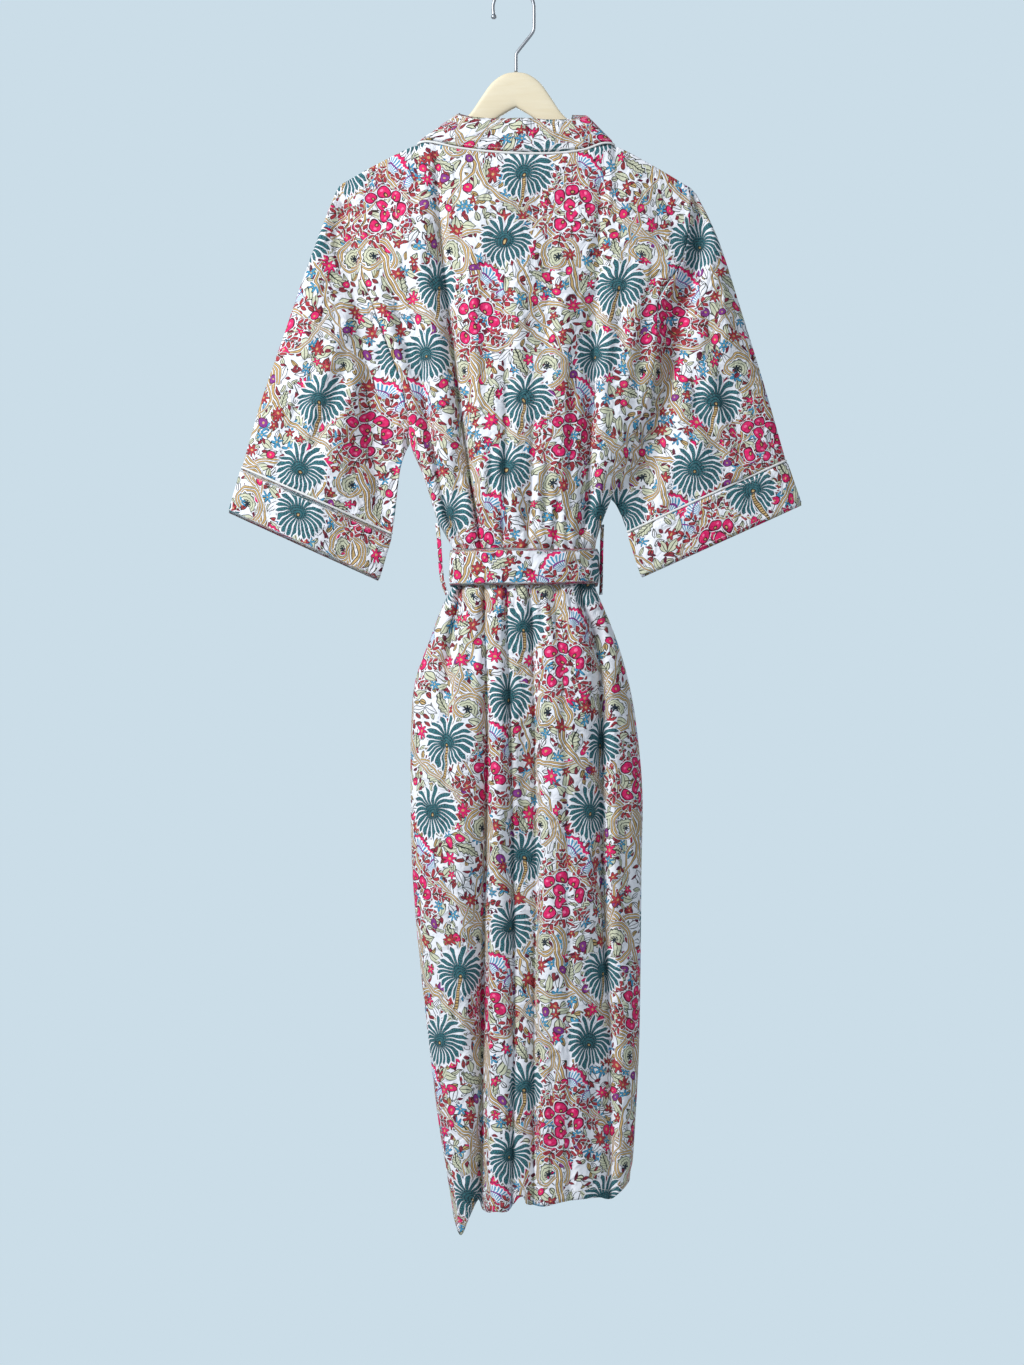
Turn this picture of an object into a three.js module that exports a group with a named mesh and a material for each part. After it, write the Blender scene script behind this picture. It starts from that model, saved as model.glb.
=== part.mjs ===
// A cotton kimono robe tied at the waist, hung on a wooden clothes hanger.
// Millimetres, +Z up. The origin is the inside top of the hanger's hook.
// The robe's back faces -Y and its front faces +Y; its left side is at -X.
import * as THREE from "three";

const WALL = 1.5; // the cotton cloth, with its seam allowance
const BAND_WALL = 3; // collar band, cuffs and belt are folded double
const SEAM = 0.5; // half the space between two pieces at a seam
const PIPING = 1.25; // radius of the piping cord
const BAND_WIDTH = 42; // collar band
const CUFF_PIPING_SPACE = 3.4; // along the sleeve, between sleeve and cuff
const BELT = { top: -673, bottom: -717, wall: 2.4, tailLength: 390, tailWidth: 40 };
const HOOK = { wire: 2, tip: 3.4, arc: 24.6, centreX: -3, stemBottom: -99.4 };
const BAR = { thick: 12, bevel: 2, tipX: 204 };
const UNDER = 5; // the right front lies this far under the left front
const HIP_LAP = 52; // each front edge passes the middle by this much

// The body's outline and depth, one row for each section down the robe.
// drop is the distance down the cloth, zL and zR the heights of the left and right
// edges, xL and xR their places, edge the half depth of the armhole there, back
// and front the depths of the two sides, neck how far the row follows the shoulder.
const BODY = [
  { drop: 0, zL: -236, zR: -240, xL: -210, xR: 209, edge: 0.6, back: 0.6, front: 0.6, neck: 1, neckY: 17 },
  { drop: 8, zL: -236.6, zR: -240.6, xL: -210, xR: 209, edge: 8, back: 8, front: 8, neck: 1, neckY: 11 },
  { drop: 16, zL: -243, zR: -247, xL: -208, xR: 209, edge: 9.5, back: 9.5, front: 9.5, neck: 0.98, neckY: 10 },
  { drop: 50, zL: -272, zR: -282, xL: -198, xR: 208, edge: 17, back: 16, front: 18, neck: 0.86, neckY: 7 },
  { drop: 100, zL: -318, zR: -332, xL: -189, xR: 198, edge: 26, back: 24, front: 27, neck: 0.7, neckY: 4 },
  { drop: 150, zL: -365, zR: -385, xL: -179, xR: 171, edge: 32, back: 32, front: 34, neck: 0.5, neckY: 1 },
  { drop: 210, zL: -428, zR: -450, xL: -157, xR: 167, edge: 34, back: 38, front: 40, neck: 0.3, neckY: 0 },
  { drop: 270, zL: -486, zR: -520, xL: -134, xR: 148, edge: 28, back: 42, front: 43, neck: 0.12, neckY: 0 },
  { drop: 310, zL: -522, zR: -566, xL: -128, xR: 134, edge: 17, back: 43, front: 44, neck: 0.03, neckY: 0 },
  { drop: 350, zL: -545, zR: -612, xL: -127, xR: 114, edge: 0.6, back: 44, front: 45, neck: 0, neckY: 0 },
  { drop: 400, zL: -589, zR: -637, xL: -109, xR: 104, edge: 0.6, back: 43, front: 44, neck: 0, neckY: 0 },
  { drop: 440, zL: -640, zR: -655, xL: -93, xR: 98, edge: 0.6, back: 41.5, front: 42, neck: 0, neckY: 0 },
  { drop: 470, zL: -671, zR: -671, xL: -75.5, xR: 94.5, edge: 0.6, back: 40, front: 40, neck: 0, neckY: 0 },
  { drop: 518, zL: -719, zR: -719, xL: -75.5, xR: 94.5, edge: 0.6, back: 40, front: 40, neck: 0, neckY: 0 },
  { drop: 535, zL: -736, zR: -736, xL: -86, xR: 102, edge: 0.6, back: 44, front: 44, neck: 0, neckY: 0 },
  { drop: 580, zL: -781, zR: -781, xL: -103, xR: 120, edge: 0.6, back: 50, front: 50, neck: 0, neckY: 0 },
  { drop: 628, zL: -829, zR: -829, xL: -120, xR: 134, edge: 0.6, back: 54, front: 54, neck: 0, neckY: 0 },
  { drop: 676, zL: -877, zR: -877, xL: -125, xR: 143, edge: 0.6, back: 57, front: 57, neck: 0, neckY: 0 },
  { drop: 760, zL: -961, zR: -961, xL: -126, xR: 151, edge: 0.6, back: 58, front: 58, neck: 0, neckY: 0 },
  { drop: 856, zL: -1057, zR: -1057, xL: -124, xR: 150, edge: 0.6, back: 58, front: 58, neck: 0, neckY: 0 },
  { drop: 964, zL: -1165, zR: -1165, xL: -115, xR: 149, edge: 0.6, back: 57, front: 57, neck: 0, neckY: 0 },
  { drop: 1072, zL: -1273, zR: -1273, xL: -103, xR: 147, edge: 0.6, back: 56, front: 56, neck: 0, neckY: 0 },
  { drop: 1168, zL: -1369, zR: -1369, xL: -91, xR: 142, edge: 0.6, back: 54, front: 54, neck: 0, neckY: 0 },
  { drop: 1257, zL: -1458, zR: -1458, xL: -75, xR: 136, edge: 0.6, back: 52, front: 52, neck: 0, neckY: 0 },
];
const ARMPIT = 350;
const LENGTH = 1257;
const BACK_ROWS = [0, 8, 16, 50, 90, 130, 175, 220, 265, 305, 350, 385, 415, 443, 470, 494, 518, 535, 560,
  600, 650, 720, 800, 890, 980, 1070, 1140, 1200, 1228, 1257];
const FRONT_ROWS = [0, 8, 16, 50, 90, 130, 175, 220, 265, 305, 350, 400, 440, 470, 518, 535, 570, 620, 700, 800,
  920, 1040, 1150, 1220, 1257];

// The creases of the back, each a trough that wanders down the cloth.
// z is the height, x the place of its bottom, depth how far it goes in, wide its half width.
const CREASES = [
  { columns: 4, path: [
    { z: -238, x: -160, depth: 0, wide: 8 }, { z: -420, x: -122, depth: 0, wide: 8 },
    { z: -559, x: -102, depth: 4, wide: 8 }, { z: -637, x: -84, depth: 9, wide: 6 },
    { z: -673, x: -63, depth: 8, wide: 5 }, { z: -721, x: -62, depth: 9, wide: 5 },
    { z: -787, x: -79, depth: 9, wide: 7 }, { z: -913, x: -84, depth: 4, wide: 9 },
    { z: -1458, x: -62, depth: 3, wide: 9 }] },
  { columns: 4, path: [
    { z: -238, x: -96, depth: 0, wide: 9 }, { z: -334, x: -90, depth: 4, wide: 9 },
    { z: -493, x: -71, depth: 12, wide: 8 }, { z: -566, x: -60, depth: 16, wide: 8 },
    { z: -613, x: -53, depth: 16, wide: 7 }, { z: -667, x: -43, depth: 12, wide: 5 },
    { z: -721, x: -39, depth: 15, wide: 6 }, { z: -868, x: -35, depth: 27, wide: 8 },
    { z: -1024, x: -36, depth: 27, wide: 8 }, { z: -1213, x: -40, depth: 25, wide: 8 },
    { z: -1458, x: -42, depth: 22, wide: 8 }] },
  { columns: 4, path: [
    { z: -238, x: -18, depth: 0, wide: 8 }, { z: -493, x: -12, depth: 3, wide: 7 },
    { z: -673, x: -16, depth: 8, wide: 5 }, { z: -733, x: -12, depth: 12, wide: 6 },
    { z: -973, x: -6, depth: 16, wide: 7 }, { z: -1213, x: -3, depth: 16, wide: 7 },
    { z: -1458, x: -5, depth: 16, wide: 7 }] },
  { columns: 3, path: [
    { z: -238, x: 30, depth: 0, wide: 8 }, { z: -553, x: 20, depth: 3, wide: 7 },
    { z: -685, x: 13, depth: 8, wide: 5 }, { z: -781, x: 19, depth: 10, wide: 6 },
    { z: -1069, x: 25, depth: 13, wide: 7 }, { z: -1182, x: 22, depth: 12, wide: 7 },
    { z: -1458, x: 21, depth: 11, wide: 7 }] },
  { columns: 3, path: [
    { z: -238, x: 62, depth: 0, wide: 9 }, { z: -600, x: 50, depth: 2, wide: 8 },
    { z: -673, x: 44, depth: 6, wide: 5 }, { z: -721, x: 45, depth: 8, wide: 6 },
    { z: -830, x: 56, depth: 6, wide: 9 }, { z: -1093, x: 62, depth: 5, wide: 9 },
    { z: -1458, x: 64, depth: 5, wide: 9 }] },
  { columns: 3, path: [
    { z: -238, x: 105, depth: 0, wide: 9 }, { z: -409, x: 94, depth: 4, wide: 8 },
    { z: -493, x: 90, depth: 9, wide: 8 }, { z: -559, x: 84, depth: 13, wide: 7 },
    { z: -613, x: 82, depth: 13, wide: 6 }, { z: -671, x: 74, depth: 8, wide: 5 },
    { z: -730, x: 77, depth: 11, wide: 5 }, { z: -776, x: 92, depth: 16, wide: 6 },
    { z: -830, x: 100, depth: 19, wide: 7 }, { z: -970, x: 101, depth: 20, wide: 8 },
    { z: -1093, x: 103, depth: 19, wide: 8 }, { z: -1267, x: 112, depth: 15, wide: 7 },
    { z: -1458, x: 112, depth: 11, wide: 7 }] },
];
const LAST_COLUMNS = 5;

// Softer creases of the fronts, on the side that is turned away.
const FRONT_CREASES = [
  { path: [{ z: -238, x: -95, depth: 0, wide: 14 }, { z: -560, x: -70, depth: 7, wide: 12 },
    { z: -700, x: -45, depth: 3, wide: 10 }, { z: -900, x: -62, depth: 11, wide: 13 },
    { z: -1458, x: -50, depth: 12, wide: 13 }] },
  { path: [{ z: -238, x: 105, depth: 0, wide: 14 }, { z: -540, x: 84, depth: 8, wide: 12 },
    { z: -700, x: 70, depth: 3, wide: 9 }, { z: -900, x: 92, depth: 10, wide: 12 },
    { z: -1458, x: 96, depth: 11, wide: 12 }] },
];

// Height of the shoulder seam and the back neck seam over the shoulder tips.
const SHOULDER = [
  { x: -210, up: 0 }, { x: -170, up: 23 }, { x: -118, up: 49 }, { x: -104, up: 51 }, { x: -66, up: 43 },
  { x: -10, up: 38 }, { x: 44, up: 38 }, { x: 82, up: 43 }, { x: 104, up: 51 }, { x: 118, up: 50 },
  { x: 170, up: 23 }, { x: 209, up: 0 },
];
const NECK_X = 116; // where the collar band leaves the shoulder seam
// How far the back's top edge stands below the neck seam, to leave room for the piping.
const NECK_FALL = [{ drop: 0, fall: 1.9 }, { drop: 8, fall: 6 }, { drop: 16, fall: 4.5 }, { drop: 60, fall: 0 }];
const PIPING_LIFT = [{ drop: 0, up: 1.3 }, { drop: 8, up: 1.3 }, { drop: 16, up: 0.3 }, { drop: 60, up: 0 }];
// The hem's height beside its mean, across the back and across the fronts.
const HEM = [
  { x: -76, up: -8 }, { x: -66, up: -33 }, { x: -55, up: -10 }, { x: -45, up: 8 }, { x: -40, up: -4 },
  { x: -24, up: -1 }, { x: -9, up: 0 }, { x: 3, up: 15 }, { x: 9, up: 16 }, { x: 12, up: 8 }, { x: 30, up: 6 },
  { x: 56, up: 12 }, { x: 98, up: 15 }, { x: 112, up: 11 }, { x: 121, up: 18 }, { x: 136, up: 31 },
];
const FRONT_HEM = [
  { x: -30, up: 0 }, { x: 0, up: 12 }, { x: 56, up: 15 }, { x: 98, up: 18 }, { x: 121, up: 22 }, { x: 136, up: 34 },
];

// Each sleeve, from the armhole to the start of the cuff: the outer fold, the inner fold and half depth.
const SLEEVES = {
  left: { side: -1, fold: { at: 0.62, depth: 9, wide: 0.11 }, rows: [
    { t: 0, outX: -210.2, outZ: -236, inX: -127.4, inZ: -545, deep: 34, bow: 1 },
    { t: 0.08, outX: -217, outZ: -247, inX: -133, inZ: -556, deep: 34, bow: 0.85 },
    { t: 0.28, outX: -247, outZ: -325, inX: -139, inZ: -575, deep: 33, bow: 0.5 },
    { t: 0.55, outX: -280, outZ: -421, inX: -143, inZ: -605, deep: 29, bow: 0.2 },
    { t: 0.8, outX: -306, outZ: -497, inX: -146, inZ: -632, deep: 25, bow: 0.05 },
    { t: 1, outX: -328, outZ: -573, inX: -149, inZ: -652, deep: 22, bow: 0 }],
  cuff: { outX: -344, outZ: -629, inX: -166, inZ: -710, deep: 21 } },
  right: { side: 1, fold: { at: 0.58, depth: 8, wide: 0.12 }, rows: [
    { t: 0, outX: 209.2, outZ: -240, inX: 114.4, inZ: -612, deep: 34, bow: 1 },
    { t: 0.08, outX: 218, outZ: -250, inX: 119, inZ: -617, deep: 34, bow: 0.85 },
    { t: 0.28, outX: 243, outZ: -303, inX: 124, inZ: -626, deep: 33, bow: 0.5 },
    { t: 0.55, outX: 271, outZ: -390, inX: 128, inZ: -635, deep: 29, bow: 0.2 },
    { t: 0.8, outX: 299, outZ: -481, inX: 131, inZ: -643, deep: 25, bow: 0.05 },
    { t: 1, outX: 323, outZ: -565, inX: 134, inZ: -650, deep: 22, bow: 0 }],
  cuff: { outX: 342, outZ: -620, inX: 152, inZ: -706, deep: 21 } },
};
const SLEEVE_ROWS = 10;
// The sleeve's columns start at the ends of the body's rows along the armhole.
const SLEEVE_COLUMNS = BACK_ROWS.filter((drop) => drop <= ARMPIT).map((drop) => drop / ARMPIT);

// The hanger bar's edges; above 125 from the middle its top follows the shoulder seam.
const BAR_EDGE = [
  { x: 0, top: -100, bottom: -142 }, { x: 14, top: -102.5, bottom: -150 }, { x: 29, top: -113, bottom: -160 },
  { x: 42, top: -131, bottom: -167 }, { x: 55, top: -150, bottom: -175 }, { x: 72, top: -165, bottom: -184 },
  { x: 92, top: -183, bottom: -197 }, { x: 105, top: -191.5, bottom: -204 }, { x: 118, top: -195.5, bottom: -212 }, { x: 132, top: -200, bottom: -219 }, { x: 150, top: -208, bottom: -228 },
  { x: 180, top: -225, bottom: -243 }, { x: 199, top: -237, bottom: -252 },
];

const COLOURS = {
  print: 0xe9e6e4, band: 0xe4dfe0, piping: 0xf7f7f5, wood: 0xe8dcb8, steel: 0xb9bcc0,
};
const cloth = () => new THREE.MeshStandardMaterial({ color: COLOURS.print, roughness: 0.9, metalness: 0 });
const bandCloth = () => new THREE.MeshStandardMaterial({ color: COLOURS.band, roughness: 0.9, metalness: 0 });
const pipingCloth = () => new THREE.MeshStandardMaterial({ color: COLOURS.piping, roughness: 0.85, metalness: 0 });
const wood = () => new THREE.MeshStandardMaterial({ color: COLOURS.wood, roughness: 0.55, metalness: 0 });
const steel = () => new THREE.MeshStandardMaterial({ color: COLOURS.steel, roughness: 0.3, metalness: 1 });

const mix = (a, b, f) => a + (b - a) * f;
const clamp = (v, a, b) => Math.min(b, Math.max(a, v));
const ease = (v) => { const f = clamp(v, 0, 1); return f * f * (3 - 2 * f); };

// Reads one named column of a table at a place, by straight lines or by a smooth curve.
function read(table, key, column, at, smooth = false) {
  const up = table[table.length - 1][key] > table[0][key];
  const sign = up ? 1 : -1;
  if (sign * (at - table[0][key]) <= 0) return table[0][column];
  for (let i = 1; i < table.length; i += 1) {
    const a = table[i - 1];
    const b = table[i];
    if (sign * (at - b[key]) <= 0) {
      const f = (at - a[key]) / (b[key] - a[key]);
      if (!smooth) return mix(a[column], b[column], f);
      const before = table[Math.max(0, i - 2)];
      const after = table[Math.min(table.length - 1, i + 1)];
      const span = b[key] - a[key];
      const slopeA = (b[column] - before[column]) / (b[key] - before[key]) * span;
      const slopeB = (after[column] - a[column]) / (after[key] - a[key]) * span;
      const f2 = f * f;
      const f3 = f2 * f;
      return (2 * f3 - 3 * f2 + 1) * a[column] + (f3 - 2 * f2 + f) * slopeA
        + (3 * f2 - 2 * f3) * b[column] + (f3 - f2) * slopeB;
    }
  }
  return table[table.length - 1][column];
}

// One section of the body at a distance down the cloth.
function section(drop) {
  const smooth = drop > 20 && (drop < 440 || drop > 545);
  const get = (column) => read(BODY, "drop", column, drop, smooth);
  const zL = get("zL");
  const zR = get("zR");
  return {
    drop, zL, zR, z: (zL + zR) / 2, xL: get("xL"), xR: get("xR"), edge: Math.max(0.6, get("edge")),
    back: get("back"), front: get("front"), neck: get("neck"), neckY: get("neckY"),
  };
}

const across = (row, x) => clamp(Math.acos(clamp(1 - 2 * (x - row.xL) / (row.xR - row.xL), -1, 1)) / Math.PI, 0, 1);

// Height of a point of a row.
function heightAt(row, x, isBack) {
  const f = (x - row.xL) / (row.xR - row.xL);
  let up = read(SHOULDER, "x", "up", x, true);
  if (!isBack && Math.abs(x) < NECK_X) up = 50;
  let z = mix(row.zL, row.zR, f) + row.neck * up;
  z += ease((row.drop - (LENGTH - 62)) / 62) * read(isBack ? HEM : FRONT_HEM, "x", "up", x);
  if (isBack) {
    z -= read(NECK_FALL, "drop", "fall", row.drop) * ease((NECK_X + 5 - Math.abs(x)) / 5);
  }
  return z;
}

// Height of the shoulder and neck seam.
const seamHeight = (x) => mix(BODY[0].zL, BODY[0].zR, (x - BODY[0].xL) / (BODY[0].xR - BODY[0].xL))
  + read(SHOULDER, "x", "up", x, true);

// Depth of a point of the back, without its creases.
function backDepth(row, x) {
  const s = across(row, x);
  const round = Math.pow(Math.sin(Math.PI * s), 0.75);
  const neck = Math.abs(x) < NECK_X ? row.neckY * (1 - (x / NECK_X) ** 2) ** 0.25 : 0;
  return row.edge + (row.back - row.edge) * round + neck;
}

function creaseDepth(creases, row, x) {
  let depth = 0;
  for (const crease of creases) {
    const place = read(crease.path, "z", "x", row.z, true);
    const deep = read(crease.path, "z", "depth", row.z, true);
    const wide = read(crease.path, "z", "wide", row.z, true);
    depth += Math.max(0, deep) * Math.exp(-(((x - place) / wide) ** 2));
  }
  return depth;
}

const backPoint = (row, x) => new THREE.Vector3(
  x, -(backDepth(row, x) - creaseDepth(CREASES, row, x)), heightAt(row, x, true));

function frontPoint(row, x, isUnder) {
  const s = across(row, x);
  const round = Math.pow(Math.sin(Math.PI * s), 0.75);
  let y = row.edge + (row.front - row.edge) * round - creaseDepth(FRONT_CREASES, row, x);
  if (isUnder) y -= UNDER * ease((row.drop - 130) / 120) * ease((row.xR - 2 - x) / 26);
  return new THREE.Vector3(x, y, heightAt(row, x, false));
}

// Points at even distances along a fine line of points.
function evenly(line, count) {
  const far = [0];
  for (let i = 1; i < line.length; i += 1) far.push(far[i - 1] + line[i].distanceTo(line[i - 1]));
  const total = far[far.length - 1];
  const points = [];
  let k = 1;
  for (let i = 0; i <= count; i += 1) {
    const goal = total * i / count;
    while (k < line.length - 1 && far[k] < goal) k += 1;
    const f = far[k] === far[k - 1] ? 0 : (goal - far[k - 1]) / (far[k] - far[k - 1]);
    points.push(line[k - 1].clone().lerp(line[k], clamp(f, 0, 1)));
  }
  return points;
}

function lineOf(pointAt, from, to, steps = 90) {
  const line = [];
  for (let i = 0; i <= steps; i += 1) {
    const turn = (1 - Math.cos(Math.PI * i / steps)) / 2;
    line.push(pointAt(mix(from, to, turn)));
  }
  return line;
}

// The row of the back, its columns standing on the crease bottoms.
function backRow(drop) {
  const row = section(drop);
  const cuts = [row.xL, ...CREASES.map((c) => read(c.path, "z", "x", row.z, true)), row.xR];
  const counts = [...CREASES.map((c) => c.columns), LAST_COLUMNS];
  const points = [];
  for (let i = 0; i < counts.length; i += 1) {
    const part = evenly(lineOf((x) => backPoint(row, x), cuts[i], cuts[i + 1]), counts[i]);
    points.push(...(i ? part.slice(1) : part));
  }
  return points;
}

// The seam between a front and its band, and the band's own edge.
function frontSeam(row, side) {
  const middle = (row.xL + row.xR) / 2;
  const lap = middle - side * HIP_LAP;
  const seamLow = lap + side * BAND_WIDTH;
  if (row.drop >= 440) return seamLow;
  const waist = section(440);
  const waistSeam = (waist.xL + waist.xR) / 2 - side * (HIP_LAP - BAND_WIDTH);
  return mix(side * (NECK_X + 2), waistSeam, clamp((row.drop - 8) / 432, 0, 1));
}

function frontRow(drop, side, columns) {
  const row = section(drop);
  const start = side < 0 ? row.xL : row.xR;
  const seam = frontSeam(row, side) + side * (PIPING + 0.45);
  return evenly(lineOf((x) => frontPoint(row, x, side > 0), start, seam), columns);
}

// A closed wall round a grid of points; around joins its last column to its first.
function wallMesh(name, grid, thick, material, around = false) {
  const rows = grid.length;
  const cols = grid[0].length;
  const last = around ? cols : cols - 1;
  const outer = [];
  const inner = [];
  for (let r = 0; r < rows; r += 1) {
    for (let c = 0; c < cols; c += 1) {
      const p = grid[r][c];
      const up = grid[Math.max(0, r - 1)][c];
      const down = grid[Math.min(rows - 1, r + 1)][c];
      const before = around ? grid[r][(c + cols - 1) % cols] : grid[r][Math.max(0, c - 1)];
      const after = around ? grid[r][(c + 1) % cols] : grid[r][Math.min(cols - 1, c + 1)];
      const along = down.clone().sub(up);
      const a = p.clone().sub(before);
      const b = after.clone().sub(p);
      const nA = a.lengthSq() > 0 ? a.clone().cross(along).normalize() : null;
      const nB = b.lengthSq() > 0 ? b.clone().cross(along).normalize() : null;
      const n = new THREE.Vector3();
      if (nA) n.add(nA);
      if (nB) n.add(nB);
      n.normalize();
      const share = clamp(n.dot(nA ?? nB), 0.5, 1);
      outer.push(p.clone().addScaledVector(n, thick / 2 / share));
      inner.push(p.clone().addScaledVector(n, -thick / 2 / share));
    }
  }
  const points = [...outer, ...inner];
  const half = outer.length;
  const at = (r, c) => r * cols + (c % cols);
  const faces = [];
  const quad = (i, j, k, l) => faces.push(i, j, k, i, k, l);
  for (let r = 0; r < rows - 1; r += 1) {
    for (let c = 0; c < last; c += 1) {
      quad(at(r, c), at(r, c + 1), at(r + 1, c + 1), at(r + 1, c));
      quad(half + at(r, c), half + at(r + 1, c), half + at(r + 1, c + 1), half + at(r, c + 1));
    }
  }
  for (let c = 0; c < last; c += 1) {
    quad(at(0, c), half + at(0, c), half + at(0, c + 1), at(0, c + 1));
    quad(at(rows - 1, c), at(rows - 1, c + 1), half + at(rows - 1, c + 1), half + at(rows - 1, c));
  }
  if (!around) {
    for (let r = 0; r < rows - 1; r += 1) {
      quad(at(r, 0), at(r + 1, 0), half + at(r + 1, 0), half + at(r, 0));
      quad(at(r, cols - 1), half + at(r, cols - 1), half + at(r + 1, cols - 1), at(r + 1, cols - 1));
    }
  }
  return solid(name, points, faces, material);
}

// A mesh from points and faces, turned so that its faces point out.
function solid(name, points, faces, material) {
  let volume = 0;
  for (let i = 0; i < faces.length; i += 3) {
    const [a, b, c] = [points[faces[i]], points[faces[i + 1]], points[faces[i + 2]]];
    volume += a.dot(b.clone().cross(c));
  }
  const index = [...faces];
  if (volume < 0) for (let i = 0; i < index.length; i += 3) [index[i + 1], index[i + 2]] = [index[i + 2], index[i + 1]];
  const geometry = new THREE.BufferGeometry();
  geometry.setAttribute("position", new THREE.Float32BufferAttribute(points.flatMap((p) => [p.x, p.y, p.z]), 3));
  geometry.setIndex(index);
  geometry.computeVertexNormals();
  const mesh = new THREE.Mesh(geometry, material);
  mesh.name = name;
  return mesh;
}

// A round cord along a line, with a radius at each point; a closed one is a ring.
function cordMesh(name, line, radius, sides, material, closed = false) {
  const count = line.length;
  const points = [];
  let normal = null;
  for (let i = 0; i < count; i += 1) {
    const before = closed ? line[(i + count - 1) % count] : line[Math.max(0, i - 1)];
    const after = closed ? line[(i + 1) % count] : line[Math.min(count - 1, i + 1)];
    const along = after.clone().sub(before).normalize();
    if (!normal) {
      normal = Math.abs(along.y) < 0.8 ? new THREE.Vector3(0, 1, 0) : new THREE.Vector3(0, 0, 1);
    }
    normal = normal.clone().addScaledVector(along, -normal.dot(along)).normalize();
    const other = along.clone().cross(normal);
    for (let k = 0; k < sides; k += 1) {
      const turn = 2 * Math.PI * k / sides;
      const r = typeof radius === "number" ? radius : radius[i];
      points.push(line[i].clone().addScaledVector(normal, r * Math.cos(turn)).addScaledVector(other, r * Math.sin(turn)));
    }
  }
  const faces = [];
  const rings = closed ? count : count - 1;
  for (let i = 0; i < rings; i += 1) {
    for (let k = 0; k < sides; k += 1) {
      const a = i * sides + k;
      const b = i * sides + (k + 1) % sides;
      const c = ((i + 1) % count) * sides + (k + 1) % sides;
      const d = ((i + 1) % count) * sides + k;
      faces.push(a, b, c, a, c, d);
    }
  }
  if (!closed) {
    for (let k = 1; k < sides - 1; k += 1) {
      faces.push(0, k + 1, k);
      const base = (count - 1) * sides;
      faces.push(base, base + k, base + k + 1);
    }
  }
  return solid(name, points, faces, material);
}

// A straight-sided strip of cloth along a line, width at each point set across.
function stripMesh(name, line, acrossAt, thick, material) {
  const grid = line.map((p, i) => acrossAt(p, i));
  return wallMesh(name, grid, thick, material);
}

// The armhole's edge on one side of the body, from the shoulder to the armpit.
function armholeAt(side, f) {
  const row = section(ARMPIT * f);
  return { x: side < 0 ? row.xL : row.xR, y: row.edge, z: side < 0 ? row.zL : row.zR };
}

// A ring of a sleeve at a share of its length; extra runs on past the sleeve's end into the cuff.
function sleeveRing(sleeve, t) {
  const { side, rows, cuff, fold } = sleeve;
  const smooth = (column) => read(rows, "t", column, t, true);
  let place = {
    outX: smooth("outX"), outZ: smooth("outZ"), inX: smooth("inX"), inZ: smooth("inZ"),
    deep: smooth("deep"), bow: Math.max(0, smooth("bow")),
  };
  if (t > 1) {
    const end = rows[rows.length - 1];
    const f = t - 1;
    place = { bow: 0, deep: mix(end.deep, cuff.deep, f), outX: mix(end.outX, cuff.outX, f),
      outZ: mix(end.outZ, cuff.outZ, f), inX: mix(end.inX, cuff.inX, f), inZ: mix(end.inZ, cuff.inZ, f) };
  }
  const top = armholeAt(side, 0);
  const pit = armholeAt(side, 1);
  const half = (isBack) => {
    const points = [];
    for (const f of SLEEVE_COLUMNS) {
      const seam = armholeAt(side, f);
      const bowX = seam.x - mix(top.x, pit.x, f);
      const bowZ = seam.z - mix(top.z, pit.z, f);
      const round = Math.pow(Math.sin(Math.PI * clamp(f, 0.0005, 0.9995)), 0.62);
      const free = 0.6 + place.deep * round;
      let y = mix(free, seam.y, place.bow);
      const trough = fold.depth * Math.sin(Math.PI * clamp(t, 0, 1)) * Math.exp(-(((f - fold.at) / fold.wide) ** 2));
      y = Math.max(0, y - (isBack ? trough : trough * 0.5));
      points.push(new THREE.Vector3(
        mix(place.outX, place.inX, f) + bowX * place.bow + side * (0.3 + 1.1 * ease((f - 0.72) / 0.2)) * place.bow,
        isBack ? -y : y,
        mix(place.outZ, place.inZ, f) + bowZ * place.bow));
    }
    return points;
  };
  const back = half(true);
  const front = half(false).reverse();
  const outer = back[0].clone().lerp(front[front.length - 1], 0.5);
  const inner = back[back.length - 1].clone().lerp(front[0], 0.5);
  return [outer, ...back.slice(1, -1), inner, ...front.slice(1, -1)];
}

function sleeveLength(sleeve) {
  const { rows } = sleeve;
  const end = rows[rows.length - 1];
  const cuffRun = Math.hypot(sleeve.cuff.outX - end.outX, sleeve.cuff.outZ - end.outZ);
  return cuffRun;
}

function sleevePieces(name, sleeve) {
  const grid = [];
  for (let i = 0; i <= SLEEVE_ROWS; i += 1) {
    const t = i === SLEEVE_ROWS ? 0.9992 : Math.pow(i / SLEEVE_ROWS, 1.15);
    grid.push(sleeveRing(sleeve, t));
  }
  const run = sleeveLength(sleeve);
  const start = CUFF_PIPING_SPACE / run;
  const cuffGrid = [start, 0.5, 1].map((f) => sleeveRing(sleeve, 1 + f));
  const pipingLine = sleeveRing(sleeve, 1 + start * 0.42);
  return [
    wallMesh(`${name}_sleeve`, grid, WALL, cloth(), true),
    wallMesh(`${name}_cuff`, cuffGrid, BAND_WALL, bandCloth(), true),
    cordMesh(`${name}_cuff_piping`, pipingLine, PIPING, 5, pipingCloth(), true),
  ];
}

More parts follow.
